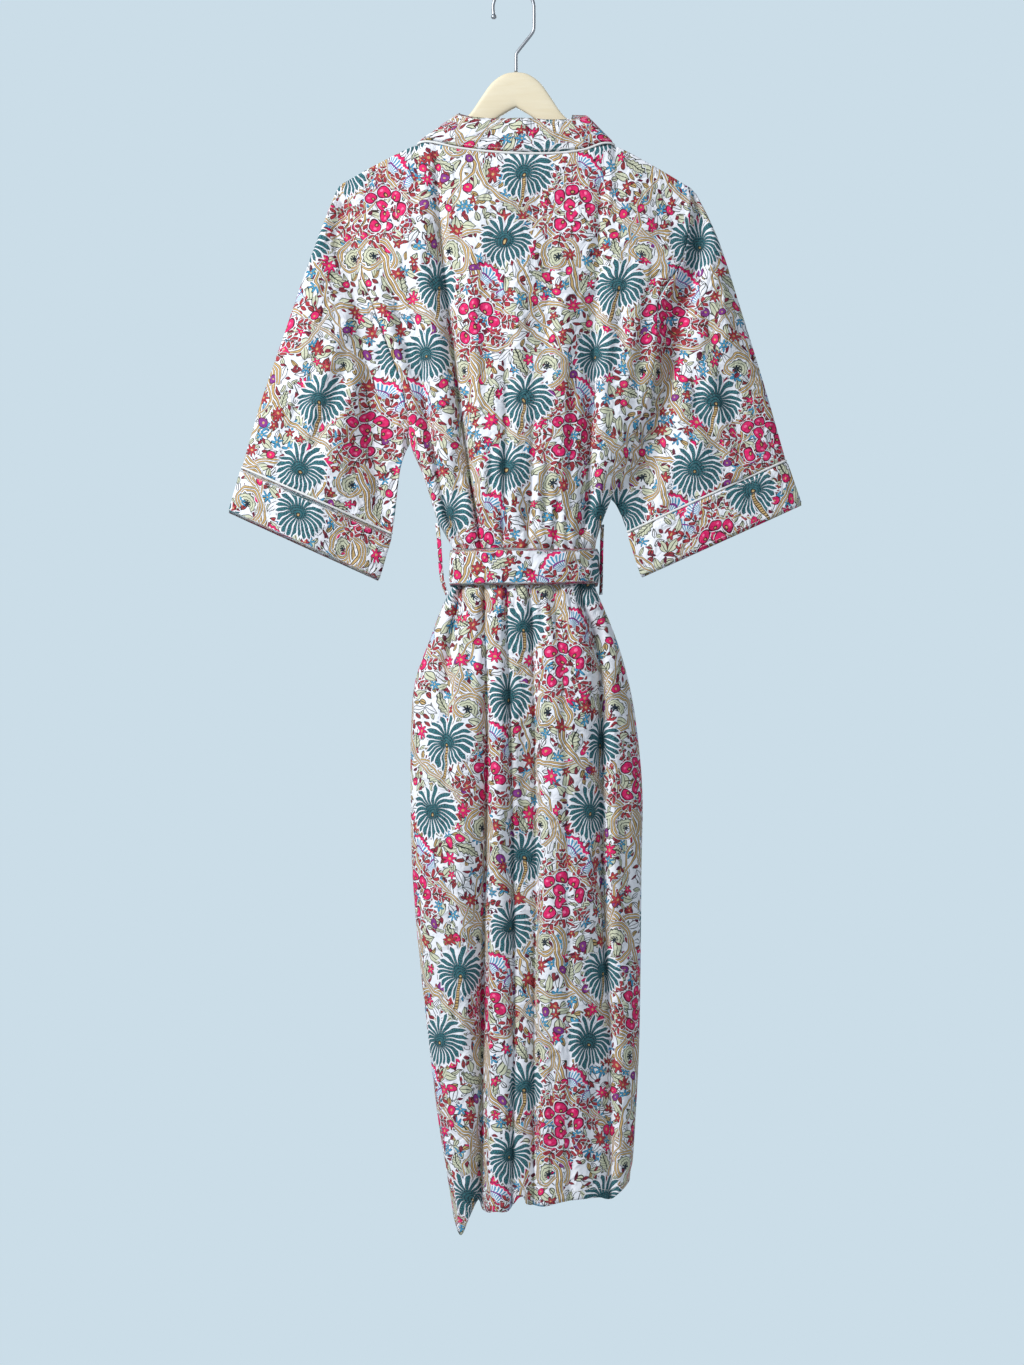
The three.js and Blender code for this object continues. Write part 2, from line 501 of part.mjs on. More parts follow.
// The collar band's cross line at a station: on a front, round the neck, and on the other front.
const NECK_STEPS = 14;
function bandFront(drop, side) {
  const row = section(drop);
  const seam = frontSeam(row, side) - side * (PIPING + 0.45);
  const rise = 1 - ease((drop - 4) / 150);
  const wide = mix(BAND_WIDTH, 50, rise);
  const points = [];
  for (let i = 0; i <= 3; i += 1) {
    const x = seam - side * (wide - PIPING) * i / 3;
    const flat = frontPoint(row, clamp(x, row.xL, row.xR), side > 0);
    const lift = 2.2 * read(PIPING_LIFT, "drop", "up", drop);
    points.push(new THREE.Vector3(x, flat.y + rise * (1 + i * 1.5), flat.z + lift + rise * 38 * i / 3));
  }
  return points;
}

function bandNeck(f) {
  const turn = Math.PI * f;
  const cos = Math.cos(turn);
  const depth = Math.pow(Math.sin(turn), 0.5);
  const baseX = -(NECK_X + 0.5) * cos;
  const topX = mix(-67, 84, (1 - cos) / 2);
  const baseZ = seamHeight(baseX) + PIPING + 1.1 + 1.2 * (1 - depth);
  const topZ = mix(-148, -151, (1 - cos) / 2) - 9 * depth;
  const points = [];
  for (let i = 0; i <= 3; i += 1) {
    const g = i / 3;
    const y = -mix(17.6, 15, g) * depth + 3 * (1 - depth) * g;
    points.push(new THREE.Vector3(mix(baseX, topX, g), y, mix(baseZ, topZ, g)));
  }
  return points;
}

function collarBand() {
  const stations = [];
  const rows = FRONT_ROWS.filter((drop) => drop >= 8);
  for (const drop of [...rows].reverse()) stations.push(bandFront(drop, -1));
  for (let i = 0; i <= NECK_STEPS; i += 1) stations.push(bandNeck(i / NECK_STEPS));
  for (const drop of rows) stations.push(bandFront(drop, 1));
  return wallMesh("collar_band", stations, BAND_WALL, bandCloth());
}

// The piping lies in the seam between the band and the body.
function collarPiping() {
  const line = [];
  const rows = FRONT_ROWS.filter((drop) => drop >= 8);
  const onFront = (drop, side) => {
    const row = section(drop);
    const point = frontPoint(row, frontSeam(row, side), side > 0);
    point.z += read(PIPING_LIFT, "drop", "up", drop);
    return point;
  };
  for (const drop of [...rows].reverse()) line.push(onFront(drop, -1));
  for (let i = 0; i <= NECK_STEPS; i += 1) {
    const cos = Math.cos(Math.PI * i / NECK_STEPS);
    const depth = Math.pow(Math.sin(Math.PI * i / NECK_STEPS), 0.5);
    const x = -(NECK_X + 1.5) * cos;
    const z = seamHeight(x) + 0.2 + 1.1 * (1 - depth);
    line.push(new THREE.Vector3(x, -17 * depth - 0.6, z));
  }
  for (const drop of rows) line.push(onFront(drop, 1));
  return cordMesh("collar_piping", line, PIPING, 5, pipingCloth());
}

// The belt goes round the gathered waist and is tied in front.
function waistLoop(offset, count, z) {
  const row = section(494);
  const line = [];
  for (let i = 0; i < 160; i += 1) {
    const turn = 2 * Math.PI * i / 160;
    const x = mix(row.xL, row.xR, (1 + Math.cos(turn)) / 2);
    const s = across(row, x);
    const deep = row.edge + (row.back - row.edge) * Math.pow(Math.sin(Math.PI * s), 0.75);
    line.push(new THREE.Vector3(x, Math.sin(turn) < 0 ? -deep : deep, 0));
  }
  const even = evenly([...line, line[0]], count).slice(0, count);
  return even.map((p, i) => {
    const a = even[(i + count - 1) % count];
    const b = even[(i + 1) % count];
    const out = new THREE.Vector3(b.y - a.y, a.x - b.x, 0).normalize();
    const far = mix(offset.back, offset.front, ease((p.y + 20) / 40));
    return new THREE.Vector3(p.x + out.x * far, p.y + out.y * far, z(p));
  });
}

function beltPieces() {
  const offset = { back: 2.5, front: 3.6 };
  const top = waistLoop(offset, 56, () => BELT.top);
  const middle = waistLoop(offset, 56, () => (BELT.top + BELT.bottom) / 2);
  const bottom = waistLoop(offset, 56, (p) => BELT.bottom + (p.y < 0 ? 13 * ease((p.x - 30) / 50) : 0));
  const belt = wallMesh("belt", [top, middle, bottom], BELT.wall, bandCloth(), true);
  const waist = section(494);
  const faceY = waist.front + offset.front + BELT.wall / 2;
  const knotX = (waist.xL + waist.xR) / 2 - 6;
  const knot = new THREE.SphereGeometry(1, 14, 9);
  knot.scale(25, 13, 25);
  const knotPoints = [];
  const kept = knot.attributes.position;
  for (let i = 0; i < kept.count; i += 1) {
    const y = Math.max(-12, kept.getY(i));
    knotPoints.push(new THREE.Vector3(kept.getX(i), y, kept.getZ(i)));
  }
  kept.copyArray(knotPoints.flatMap((p) => [p.x, p.y, p.z]));
  knot.deleteAttribute("normal");
  knot.deleteAttribute("uv");
  const knotMesh = new THREE.Mesh(knot, bandCloth());
  knotMesh.name = "belt_knot";
  knotMesh.position.set(knotX, faceY + 12.5, (BELT.top + BELT.bottom) / 2);
  const tails = [-1, 1].map((side) => {
    const grid = [];
    for (let i = 0; i <= 12; i += 1) {
      const f = i / 12;
      const down = 24.4 + f * (BELT.tailLength + (side < 0 ? 0 : 26));
      const z = (BELT.top + BELT.bottom) / 2 - down;
      const row = section(-z - 201);
      const centre = knotX + side * mix(13.5, 27, ease(f * 3));
      const line = [];
      for (let k = 0; k <= 4; k += 1) {
        const x = centre + (k / 4 - 0.5) * mix(24, BELT.tailWidth, ease(f * 3));
        const near = frontPoint(row, x, false).y;
        const bellied = Math.max(near, frontPoint(row, centre, false).y);
        line.push(new THREE.Vector3(x, mix(faceY + 12.5, bellied + 5, ease(f * 3)), z));
      }
      grid.push(line);
    }
    return wallMesh(side < 0 ? "belt_tail_left" : "belt_tail_right", grid, 2.4, bandCloth());
  });
  return [belt, knotMesh, ...tails];
}

// The two carriers at the side seams, standing off the belt.
function beltLoops() {
  const paths = {
    left: { y: 0, line: [[-94.9, -642], [-93.4, -656], [-91.4, -674], [-90, -696], [-87.6, -713], [-82.3, -727]] },
    right: { y: -4, line: [[103.9, -644], [103.1, -660], [102.4, -680], [102.2, -700], [101.8, -716], [101.4, -727]] },
  };
  return Object.entries(paths).map(([name, { y, line }]) => {
    const grid = line.map(([x, z]) => [-4, 0, 4].map((w) => new THREE.Vector3(x, y + w, z)));
    return wallMesh(`belt_loop_${name}`, grid, WALL, bandCloth());
  });
}

function hangerPieces() {
  const outline = new THREE.Shape();
  const right = BAR_EDGE;
  const tip = BAR.tipX;
  const grow = BAR.bevel;
  const topAt = (e, side) => {
    const top = e.x >= 125 ? seamHeight(side * e.x) - 1.7 : e.top;
    return top - grow;
  };
  outline.moveTo(0, topAt(right[0], 1));
  for (const e of right.slice(1)) outline.lineTo(e.x, topAt(e, 1));
  outline.lineTo(tip - grow, -243 - grow);
  outline.lineTo(tip - grow, -249);
  for (const e of [...right].reverse()) outline.lineTo(e.x, e.bottom + grow);
  for (const e of right.slice(1)) outline.lineTo(-e.x, e.bottom + grow);
  outline.lineTo(-tip + grow, -249);
  outline.lineTo(-tip + grow, -243 - grow);
  for (const e of [...right].reverse().slice(0, -1)) outline.lineTo(-e.x, topAt(e, -1));
  const bar = new THREE.ExtrudeGeometry(outline, {
    depth: BAR.thick - 2 * grow, bevelEnabled: true, bevelThickness: grow, bevelSize: grow, bevelSegments: 1,
  });
  bar.rotateX(Math.PI / 2);
  bar.translate(0, BAR.thick / 2 - grow, 0);
  const barMesh = new THREE.Mesh(bar, wood());
  barMesh.name = "hanger_bar";

  const line = [];
  const radii = [];
  const centre = new THREE.Vector3(HOOK.centreX, 0, HOOK.wire - HOOK.arc);
  const from = 188;
  const to = -4;
  for (let i = 0; i <= 18; i += 1) {
    const turn = THREE.MathUtils.degToRad(mix(from, to, i / 18));
    line.push(new THREE.Vector3(centre.x + HOOK.arc * Math.cos(turn), 0, centre.z + HOOK.arc * Math.sin(turn)));
    radii.push(HOOK.wire);
  }
  const lead = line[0].clone().sub(line[1]).normalize();
  const tipShape = [
    { far: 3.6, r: HOOK.wire }, { far: 5.1, r: 3 }, { far: 7, r: HOOK.tip }, { far: 9.2, r: 2.9 }, { far: 10.4, r: 1.4 },
  ];
  for (const { far, r } of tipShape) {
    line.unshift(line[0].clone().addScaledVector(lead, far - (line.length > 19 ? tipShape[line.length - 20].far : 0)));
    radii.unshift(r);
  }
  const neck = [[21.5, -46], [20.9, -50], [18.4, -54.4], [3, -74], [0.6, -77.6], [0, -82], [0, -90], [0, HOOK.stemBottom]];
  for (const [x, z] of neck) {
    line.push(new THREE.Vector3(x, 0, z));
    radii.push(HOOK.wire);
  }
  return [barMesh, cordMesh("hanger_hook", line, radii, 8, steel())];
}

const robe = new THREE.Group();
robe.add(wallMesh("back", BACK_ROWS.map(backRow), WALL, cloth()));
robe.add(wallMesh("left_front", FRONT_ROWS.map((drop) => frontRow(drop, -1, 10)), WALL, cloth()));
robe.add(wallMesh("right_front", FRONT_ROWS.map((drop) => frontRow(drop, 1, 10)), WALL, cloth()));
for (const [name, sleeve] of Object.entries(SLEEVES)) robe.add(...sleevePieces(name, sleeve));
robe.add(collarBand(), collarPiping(), ...beltPieces(), ...beltLoops(), ...hangerPieces());

export default robe;
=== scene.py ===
"""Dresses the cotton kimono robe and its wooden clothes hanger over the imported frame.

The robe's tables are in millimetres, as a maker would note them; every mesh is made in metres.
"""

import logging
import math
from dataclasses import dataclass, field
from enum import Enum
from typing import Callable, NamedTuple, Optional, Sequence, Union

import bpy
import numpy as np
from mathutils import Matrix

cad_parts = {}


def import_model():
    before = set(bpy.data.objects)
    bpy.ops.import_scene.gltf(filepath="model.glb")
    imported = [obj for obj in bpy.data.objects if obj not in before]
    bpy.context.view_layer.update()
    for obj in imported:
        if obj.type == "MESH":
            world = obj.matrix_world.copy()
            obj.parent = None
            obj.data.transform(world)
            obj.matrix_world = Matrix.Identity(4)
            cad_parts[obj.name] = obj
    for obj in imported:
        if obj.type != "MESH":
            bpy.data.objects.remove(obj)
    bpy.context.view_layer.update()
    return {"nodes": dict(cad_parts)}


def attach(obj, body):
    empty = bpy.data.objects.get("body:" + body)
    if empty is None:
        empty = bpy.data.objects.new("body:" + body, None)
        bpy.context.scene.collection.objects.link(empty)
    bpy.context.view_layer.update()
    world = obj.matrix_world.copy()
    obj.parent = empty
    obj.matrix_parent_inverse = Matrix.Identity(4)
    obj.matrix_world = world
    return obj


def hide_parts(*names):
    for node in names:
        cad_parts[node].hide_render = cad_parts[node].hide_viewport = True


Number = Union[float, np.ndarray]
Socket = bpy.types.NodeSocket

LOG = logging.getLogger("robe")
MM = 0.001


# Tables and lines

def ease(value: Number) -> Number:
    """Returns a share, clamped to 0 and 1 and eased with level ends."""
    f = np.clip(value, 0.0, 1.0)
    return f * f * (3 - 2 * f)


def mix(a: Number, b: Number, f: Number) -> Number:
    """Returns the place at share f of the way from a to b."""
    return a + (b - a) * f


class Track:
    """One column of a table, read at any place along its key."""

    def __init__(self, keys: Sequence[float], values: Sequence[float], smooth: bool = True) -> None:
        """Sorts the column by its key.

        Args:
            keys: where each value holds.
            values: the values.
            smooth: whether to read along a smooth curve and not straight lines.
        """
        order = np.argsort(keys)
        self.keys = np.asarray(keys, float)[order]
        self.values = np.asarray(values, float)[order]
        self.smooth = smooth

    def __call__(self, at: Number) -> Number:
        """Reads the column.

        Args:
            at: one place or many along the key.

        Returns:
            The value at each place.
        """
        where = np.clip(at, self.keys[0], self.keys[-1])
        if not self.smooth:
            return np.interp(where, self.keys, self.values)
        i = np.clip(np.searchsorted(self.keys, where, side="right") - 1, 0, len(self.keys) - 2)
        a, b = self.values[i], self.values[i + 1]
        span = self.keys[i + 1] - self.keys[i]
        before = np.maximum(i - 1, 0)
        after = np.minimum(i + 2, len(self.keys) - 1)
        slope_a = (b - self.values[before]) / (self.keys[i + 1] - self.keys[before]) * span
        slope_b = (self.values[after] - a) / (self.keys[after] - self.keys[i]) * span
        f = (where - self.keys[i]) / span
        f2, f3 = f * f, f * f * f
        return ((2 * f3 - 3 * f2 + 1) * a + (f3 - 2 * f2 + f) * slope_a
                + (3 * f2 - 2 * f3) * b + (f3 - f2) * slope_b)


def spread_evenly(line: np.ndarray, count: int) -> np.ndarray:
    """Places points at even distances along a fine line.

    Args:
        line: the fine line's points, one row each.
        count: how many steps to make.

    Returns:
        count + 1 points.
    """
    far = run_along(line)
    goal = np.linspace(0.0, far[-1], count + 1)
    return np.stack([np.interp(goal, far, line[:, k]) for k in range(line.shape[1])], axis=1)


def run_along(points: np.ndarray) -> np.ndarray:
    """Returns the distance along a line of points at each of them."""
    steps = np.linalg.norm(np.diff(points, axis=0), axis=1)
    return np.concatenate([[0.0], np.cumsum(steps)])


# The robe's own sizes

class BodyRow(NamedTuple):
    """One section of the body: heights and places of its edges, its depths and its neck line."""

    drop: float
    z_left: float
    z_right: float
    x_left: float
    x_right: float
    edge: float
    back: float
    front: float
    neck: float
    neck_y: float


BODY_ROWS = tuple(BodyRow(*row) for row in (
    (0, -236, -240, -210, 209, 0.6, 0.6, 0.6, 1, 17),
    (8, -236.6, -240.6, -210, 209, 8, 8, 8, 1, 11),
    (16, -243, -247, -208, 209, 9.5, 9.5, 9.5, 0.98, 10),
    (50, -272, -282, -198, 208, 17, 16, 18, 0.86, 7),
    (100, -318, -332, -189, 198, 26, 24, 27, 0.7, 4),
    (150, -365, -385, -179, 171, 32, 32, 34, 0.5, 1),
    (210, -428, -450, -157, 167, 34, 38, 40, 0.3, 0),
    (270, -486, -520, -134, 148, 28, 42, 43, 0.12, 0),
    (310, -522, -566, -128, 134, 17, 43, 44, 0.03, 0),
    (350, -545, -612, -127, 114, 0.6, 44, 45, 0, 0),
    (400, -589, -637, -109, 104, 0.6, 43, 44, 0, 0),
    (440, -640, -655, -93, 98, 0.6, 41.5, 42, 0, 0),
    (464, -664, -664, -79.5, 95.5, 0.6, 43, 43, 0, 0),
    (470, -671, -671, -75.5, 94.5, 0.6, 40, 40, 0, 0),
    (518, -719, -719, -75.5, 94.5, 0.6, 40, 40, 0, 0),
    (524, -725, -725, -79.5, 97, 0.6, 43.2, 43.2, 0, 0),
    (535, -736, -736, -86, 102, 0.6, 45, 45, 0, 0),
    (580, -781, -781, -103, 120, 0.6, 50, 50, 0, 0),
    (628, -829, -829, -120, 134, 0.6, 54, 54, 0, 0),
    (676, -877, -877, -125, 143, 0.6, 57, 57, 0, 0),
    (760, -961, -961, -126, 151, 0.6, 58, 58, 0, 0),
    (856, -1057, -1057, -124, 150, 0.6, 58, 58, 0, 0),
    (964, -1165, -1165, -115, 149, 0.6, 57, 57, 0, 0),
    (1072, -1273, -1273, -103, 147, 0.6, 56, 56, 0, 0),
    (1168, -1369, -1369, -91, 142, 0.6, 54, 54, 0, 0),
    (1257, -1458, -1458, -75, 136, 0.6, 52, 52, 0, 0),
))
ARMPIT_DROP = 350.0
LENGTH = 1257.0
NECK_X = 116.0
BAND_WIDTH = 42.0
PIPING = 1.25
UNDER = 5.0
HIP_LAP = 52.0
BAND_BEND_DROP = 440.0
WAIST_DROP = 494.0
SHOULDER_Z = -201.0
BELT_TOP = -673.0
BELT_BOTTOM = -717.0
BELT_Z = (BELT_TOP + BELT_BOTTOM) / 2
HEM_REACH = 62.0
HEM_STITCH_RISE = 12.0
THIN_EDGE = 0.6
CLOTH_WALL = 0.9
BAND_THICKNESS = 2.6
CORD_SIDES = 8
CORD_RADIUS = PIPING + 0.1
STRAIGHT_DROPS = (20.0, 440.0, 545.0)
RIPPLE_SEED = 41
RIPPLE_COUNT = 26


class Crease:
    """A trough that wanders down the cloth."""

    def __init__(self, columns: int, soft: float, sharp: float, *path: tuple) -> None:
        """Keeps the trough's path.

        Args:
            columns: the mesh columns on its left, up to the crease before it.
            soft: how much of its depth is a soft hollow.
            sharp: how much of its depth is a narrow fold line.
            path: its points, from the top down: height, place, depth and half width.
        """
        self.columns = columns
        self.soft = soft
        self.sharp = sharp
        heights, places, depths, widths = zip(*path)
        self.place = Track(heights, places)
        self.depth = Track(heights, depths)
        self.wide = Track(heights, widths)

    def relief(self, z: float, x: np.ndarray) -> np.ndarray:
        """Returns how far the cloth goes in at places x of the row at height z."""
        deep = max(0.0, float(self.depth(z)))
        off = (x - self.place(z)) / self.wide(z)
        return deep * (self.soft * np.exp(-off ** 2) + self.sharp * np.exp(-(off / 0.36) ** 2))


BACK_CREASES = (
    Crease(24, 0.7, 0.3,
           (-238, -160, 0, 8), (-420, -122, 5, 8), (-559, -102, 12, 8), (-637, -84, 13, 6), (-673, -63, 8, 5),
           (-721, -66, 14, 6), (-787, -79, 13, 7), (-913, -84, 4, 9), (-1458, -62, 3, 9)),
    Crease(24, 0.36, 0.36,
           (-238, -96, 5, 9), (-334, -90, 17, 11), (-493, -71, 25, 10), (-566, -60, 26, 9),
           (-613, -53, 24, 8), (-667, -43, 13, 5), (-721, -39, 14, 6), (-868, -35, 18, 8),
           (-1024, -36, 18, 8), (-1213, -40, 20, 9), (-1458, -42, 20, 9)),
    Crease(24, 0.32, 0.3,
           (-238, -18, 0, 8), (-493, -12, 3, 7), (-673, -16, 8, 5), (-733, -12, 12, 6), (-973, -6, 16, 7),
           (-1213, -3, 16, 7), (-1458, -5, 16, 7)),
    Crease(18, 0.2, 0.34,
           (-238, 30, 0, 8), (-553, 20, 3, 7), (-685, 13, 8, 5), (-781, 19, 10, 6), (-1069, 25, 13, 7),
           (-1182, 22, 12, 7), (-1458, 21, 11, 7)),
    Crease(18, 0.75, 0.3,
           (-238, 62, 0, 9), (-600, 50, 2, 8), (-673, 44, 6, 5), (-721, 45, 8, 6), (-830, 56, 6, 9),
           (-1093, 62, 5, 9), (-1458, 64, 5, 9)),
    Crease(20, 0.5, 0.22,
           (-238, 105, 3, 10), (-409, 96, 17, 11), (-493, 92, 22, 10), (-559, 86, 22, 9), (-613, 83, 19, 8),
           (-671, 74, 9, 5), (-730, 77, 19, 6), (-776, 92, 23, 7), (-830, 100, 22, 7), (-970, 101, 20, 8),
           (-1093, 103, 19, 8), (-1267, 112, 15, 7), (-1458, 112, 11, 7)),
)
LAST_COLUMNS = 28
FRONT_CREASES = (
    Crease(0, 0.9, 0.2,
           (-238, -95, 0, 14), (-560, -70, 7, 12), (-700, -45, 3, 10), (-900, -62, 11, 13),
           (-1458, -50, 12, 13)),
    Crease(0, 0.9, 0.2,
           (-238, 105, 0, 14), (-540, 84, 8, 12), (-700, 70, 3, 9), (-900, 92, 10, 12), (-1458, 96, 11, 12)),
)


class Wrinkle(NamedTuple):
    """A short crease between two places of a panel; depth is negative for a ridge."""

    x0: float
    z0: float
    x1: float
    z1: float
    depth: float
    wide: float

    def relief(self, x: np.ndarray, z: np.ndarray, outward: float = 0.0, broad: float = 1.0) -> np.ndarray:
        """Returns how far the cloth goes in at places x, z.

        Args:
            x: the places across.
            z: their heights.
            outward: the sign of x on the crease's broad side, or 0 where both are alike.
            broad: how many times wider the broad side is.

        Returns:
            The depth at each place.
        """
        ax, az = self.x1 - self.x0, self.z1 - self.z0
        t = np.clip(((x - self.x0) * ax + (z - self.z0) * az) / (ax * ax + az * az), 0, 1)
        off = np.hypot(x - self.x0 - t * ax, z - self.z0 - t * az)
        wide = np.where((x - self.x0 - t * ax) * outward > 0, self.wide * broad, self.wide)
        return self.depth * np.sin(math.pi * np.clip(t, 0.04, 0.96)) ** 0.7 * np.exp(-(off / wide) ** 2)


BACK_WRINKLES = tuple(Wrinkle(*row) for row in (
    (-168, -300, -118, -470, 3.5, 12), (-150, -345, -100, -560, 3.0, 9), (-128, -280, -104, -420, -2.2, 16),
    (-70, -300, -58, -470, -2.5, 14), (-40, -330, -34, -600, 2.6, 8), (-28, -250, -22, -420, 1.8, 11),
    (2, -300, -2, -560, -2.4, 12), (40, -290, 34, -480, 2.2, 10), (60, -360, 58, -600, -2.6, 12),
    (66, -430, 64, -640, 3.4, 7), (132, -320, 108, -560, 3.4, 10), (150, -300, 130, -470, -2.4, 14),
    (165, -330, 140, -520, 2.8, 8), (118, -260, 104, -400, 2.2, 11), (-8, -430, -12, -640, 3.2, 6),
    (24, -500, 14, -655, 2.4, 6), (-72, -540, -62, -655, 3.2, 6), (-30, -560, -28, -660, 3.4, 6),
    (40, -560, 33, -662, 3.6, 6), (96, -540, 84, -655, 3.0, 6), (-100, -1000, -92, -1330, 2.6, 12),
    (-66, -900, -62, -1250, -2.2, 14), (-70, -760, -96, -840, 4.0, 8), (-50, -740, -62, -860, 3.4, 7),
    (36, -760, 42, -1050, 3.2, 9), (72, -820, 80, -1300, 2.8, 10), (126, -860, 132, -1180, 3.4, 8),
    (84, -740, 108, -800, 3.8, 7), (62, -735, 70, -860, 3.4, 7), (-20, -1080, -22, -1400, 2.8, 7),
    (42, -1180, 44, -1430, 2.6, 9), (90, -1120, 92, -1420, 2.4, 10), (8, -860, 8, -1060, 2.6, 6),
    (-84, -1300, -70, -1440, 3.0, 9),
))
BACK_SLOPES = tuple(Wrinkle(*row) for row in (
    (20, -640, 20, -1620, 17, 9), (-37, -960, -41, -1700, 15, 7), (-72, -230, -44, -700, 9, 8),
    (100, -700, 108, -1560, 8, 9), (92, -280, 76, -700, 8, 8),
))
FRONT_WRINKLES = tuple(Wrinkle(*row) for row in (
    (-150, -330, -112, -560, 3.0, 12), (150, -330, 118, -560, 3.0, 12), (-96, -420, -78, -640, 3.2, 9),
    (104, -440, 92, -640, 3.0, 9), (-44, -560, -30, -660, 3.0, 7), (60, -580, 52, -660, 3.0, 7),
    (-60, -740, -88, -900, 3.6, 9), (70, -740, 104, -900, 3.4, 9), (-20, -740, -26, -1000, 3.0, 9),
    (120, -860, 122, -1300, 3.0, 12), (-98, -900, -92, -1380, 3.0, 12), (-30, -1050, -28, -1420, 2.4, 12),
))


class Gather(NamedTuple):
    """A small gather at the belt: its share across, depth, reach up and down, and half width."""

    share: float
    depth: float
    up: float
    down: float
    wide: float


BACK_GATHERS = tuple(Gather(*row) for row in (
    (0.055, 3.0, 48, 40, 4.0), (0.15, 3.8, 70, 62, 4.5), (0.262, 4.2, 88, 120, 4.2),
    (0.318, 3.0, 52, 70, 3.6), (0.405, 3.6, 96, 66, 4.0), (0.452, 3.4, 60, 110, 4.2),
    (0.556, 4.0, 80, 84, 4.2), (0.612, 4.2, 66, 130, 4.4), (0.668, 3.2, 92, 60, 4.0),
    (0.742, 4.0, 74, 96, 4.4), (0.805, 3.0, 50, 70, 3.8), (0.93, 3.6, 62, 54, 4.2),
))
FRONT_GATHERS = tuple(Gather(*row) for row in (
    (0.09, 3.4, 56, 60, 5.0), (0.2, 3.8, 84, 100, 5.0), (0.33, 3.2, 64, 76, 5.0), (0.79, 3.4, 80, 90, 5.0),
    (0.9, 3.6, 58, 66, 5.0),
))

SHOULDER_LINE = ((-210, 0), (-170, 23), (-118, 49), (-104, 51), (-66, 43), (-10, 38), (44, 38), (82, 43),
                 (104, 51), (118, 50), (170, 23), (209, 0))
HEM_LINE = ((-76, -8), (-66, -33), (-55, -10), (-45, 8), (-40, -4), (-24, -1), (-9, 0), (3, 15), (9, 16),
            (12, 8), (30, 6), (56, 12), (98, 15), (112, 11), (121, 18), (136, 31))
FRONT_HEM_LINE = ((-30, 0), (0, 12), (56, 15), (98, 18), (121, 22), (136, 34))
NECK_FALL = ((0, 1.2), (8, 5), (16, 4.5), (60, 0))


class Side(Enum):
    """Which side of the robe a panel is on; the value is the sign of its depth."""

    BACK = -1
    FRONT = 1


class Hand(Enum):
    """Left or right of the robe; the value is the sign of x."""

    LEFT = -1
    RIGHT = 1


class Section:
    """One row across the body, at a distance down the cloth."""

    def __init__(self, drop: float, form: "BodyForm") -> None:
        """Reads the row's sizes.

        Args:
            drop: the distance down the cloth from the shoulder seam.
            form: the body's tables.
        """
        top, waist, hips = STRAIGHT_DROPS
        read = form.curved if top < drop < waist or drop > hips else form.straight
        self.drop = drop
        for name in BodyRow._fields[1:]:
            setattr(self, name, float(read[name](drop)))
        self.edge = max(THIN_EDGE, self.edge)
        self.z = (self.z_left + self.z_right) / 2

    def dip(self) -> float:
        """Returns the edge's depth once the cloth has sunk along the armhole seam."""
        beside = float(ease(self.drop / 60) * ease((ARMPIT_DROP - self.drop) / 60))
        return self.edge * (1 - 0.42 * beside)

    def share(self, x: np.ndarray) -> np.ndarray:
        """Returns how far across the row each place is, as an angle's share from 0 to 1."""
        f = np.clip((x - self.x_left) / (self.x_right - self.x_left), 0, 1)
        return np.arccos(1 - 2 * f) / math.pi


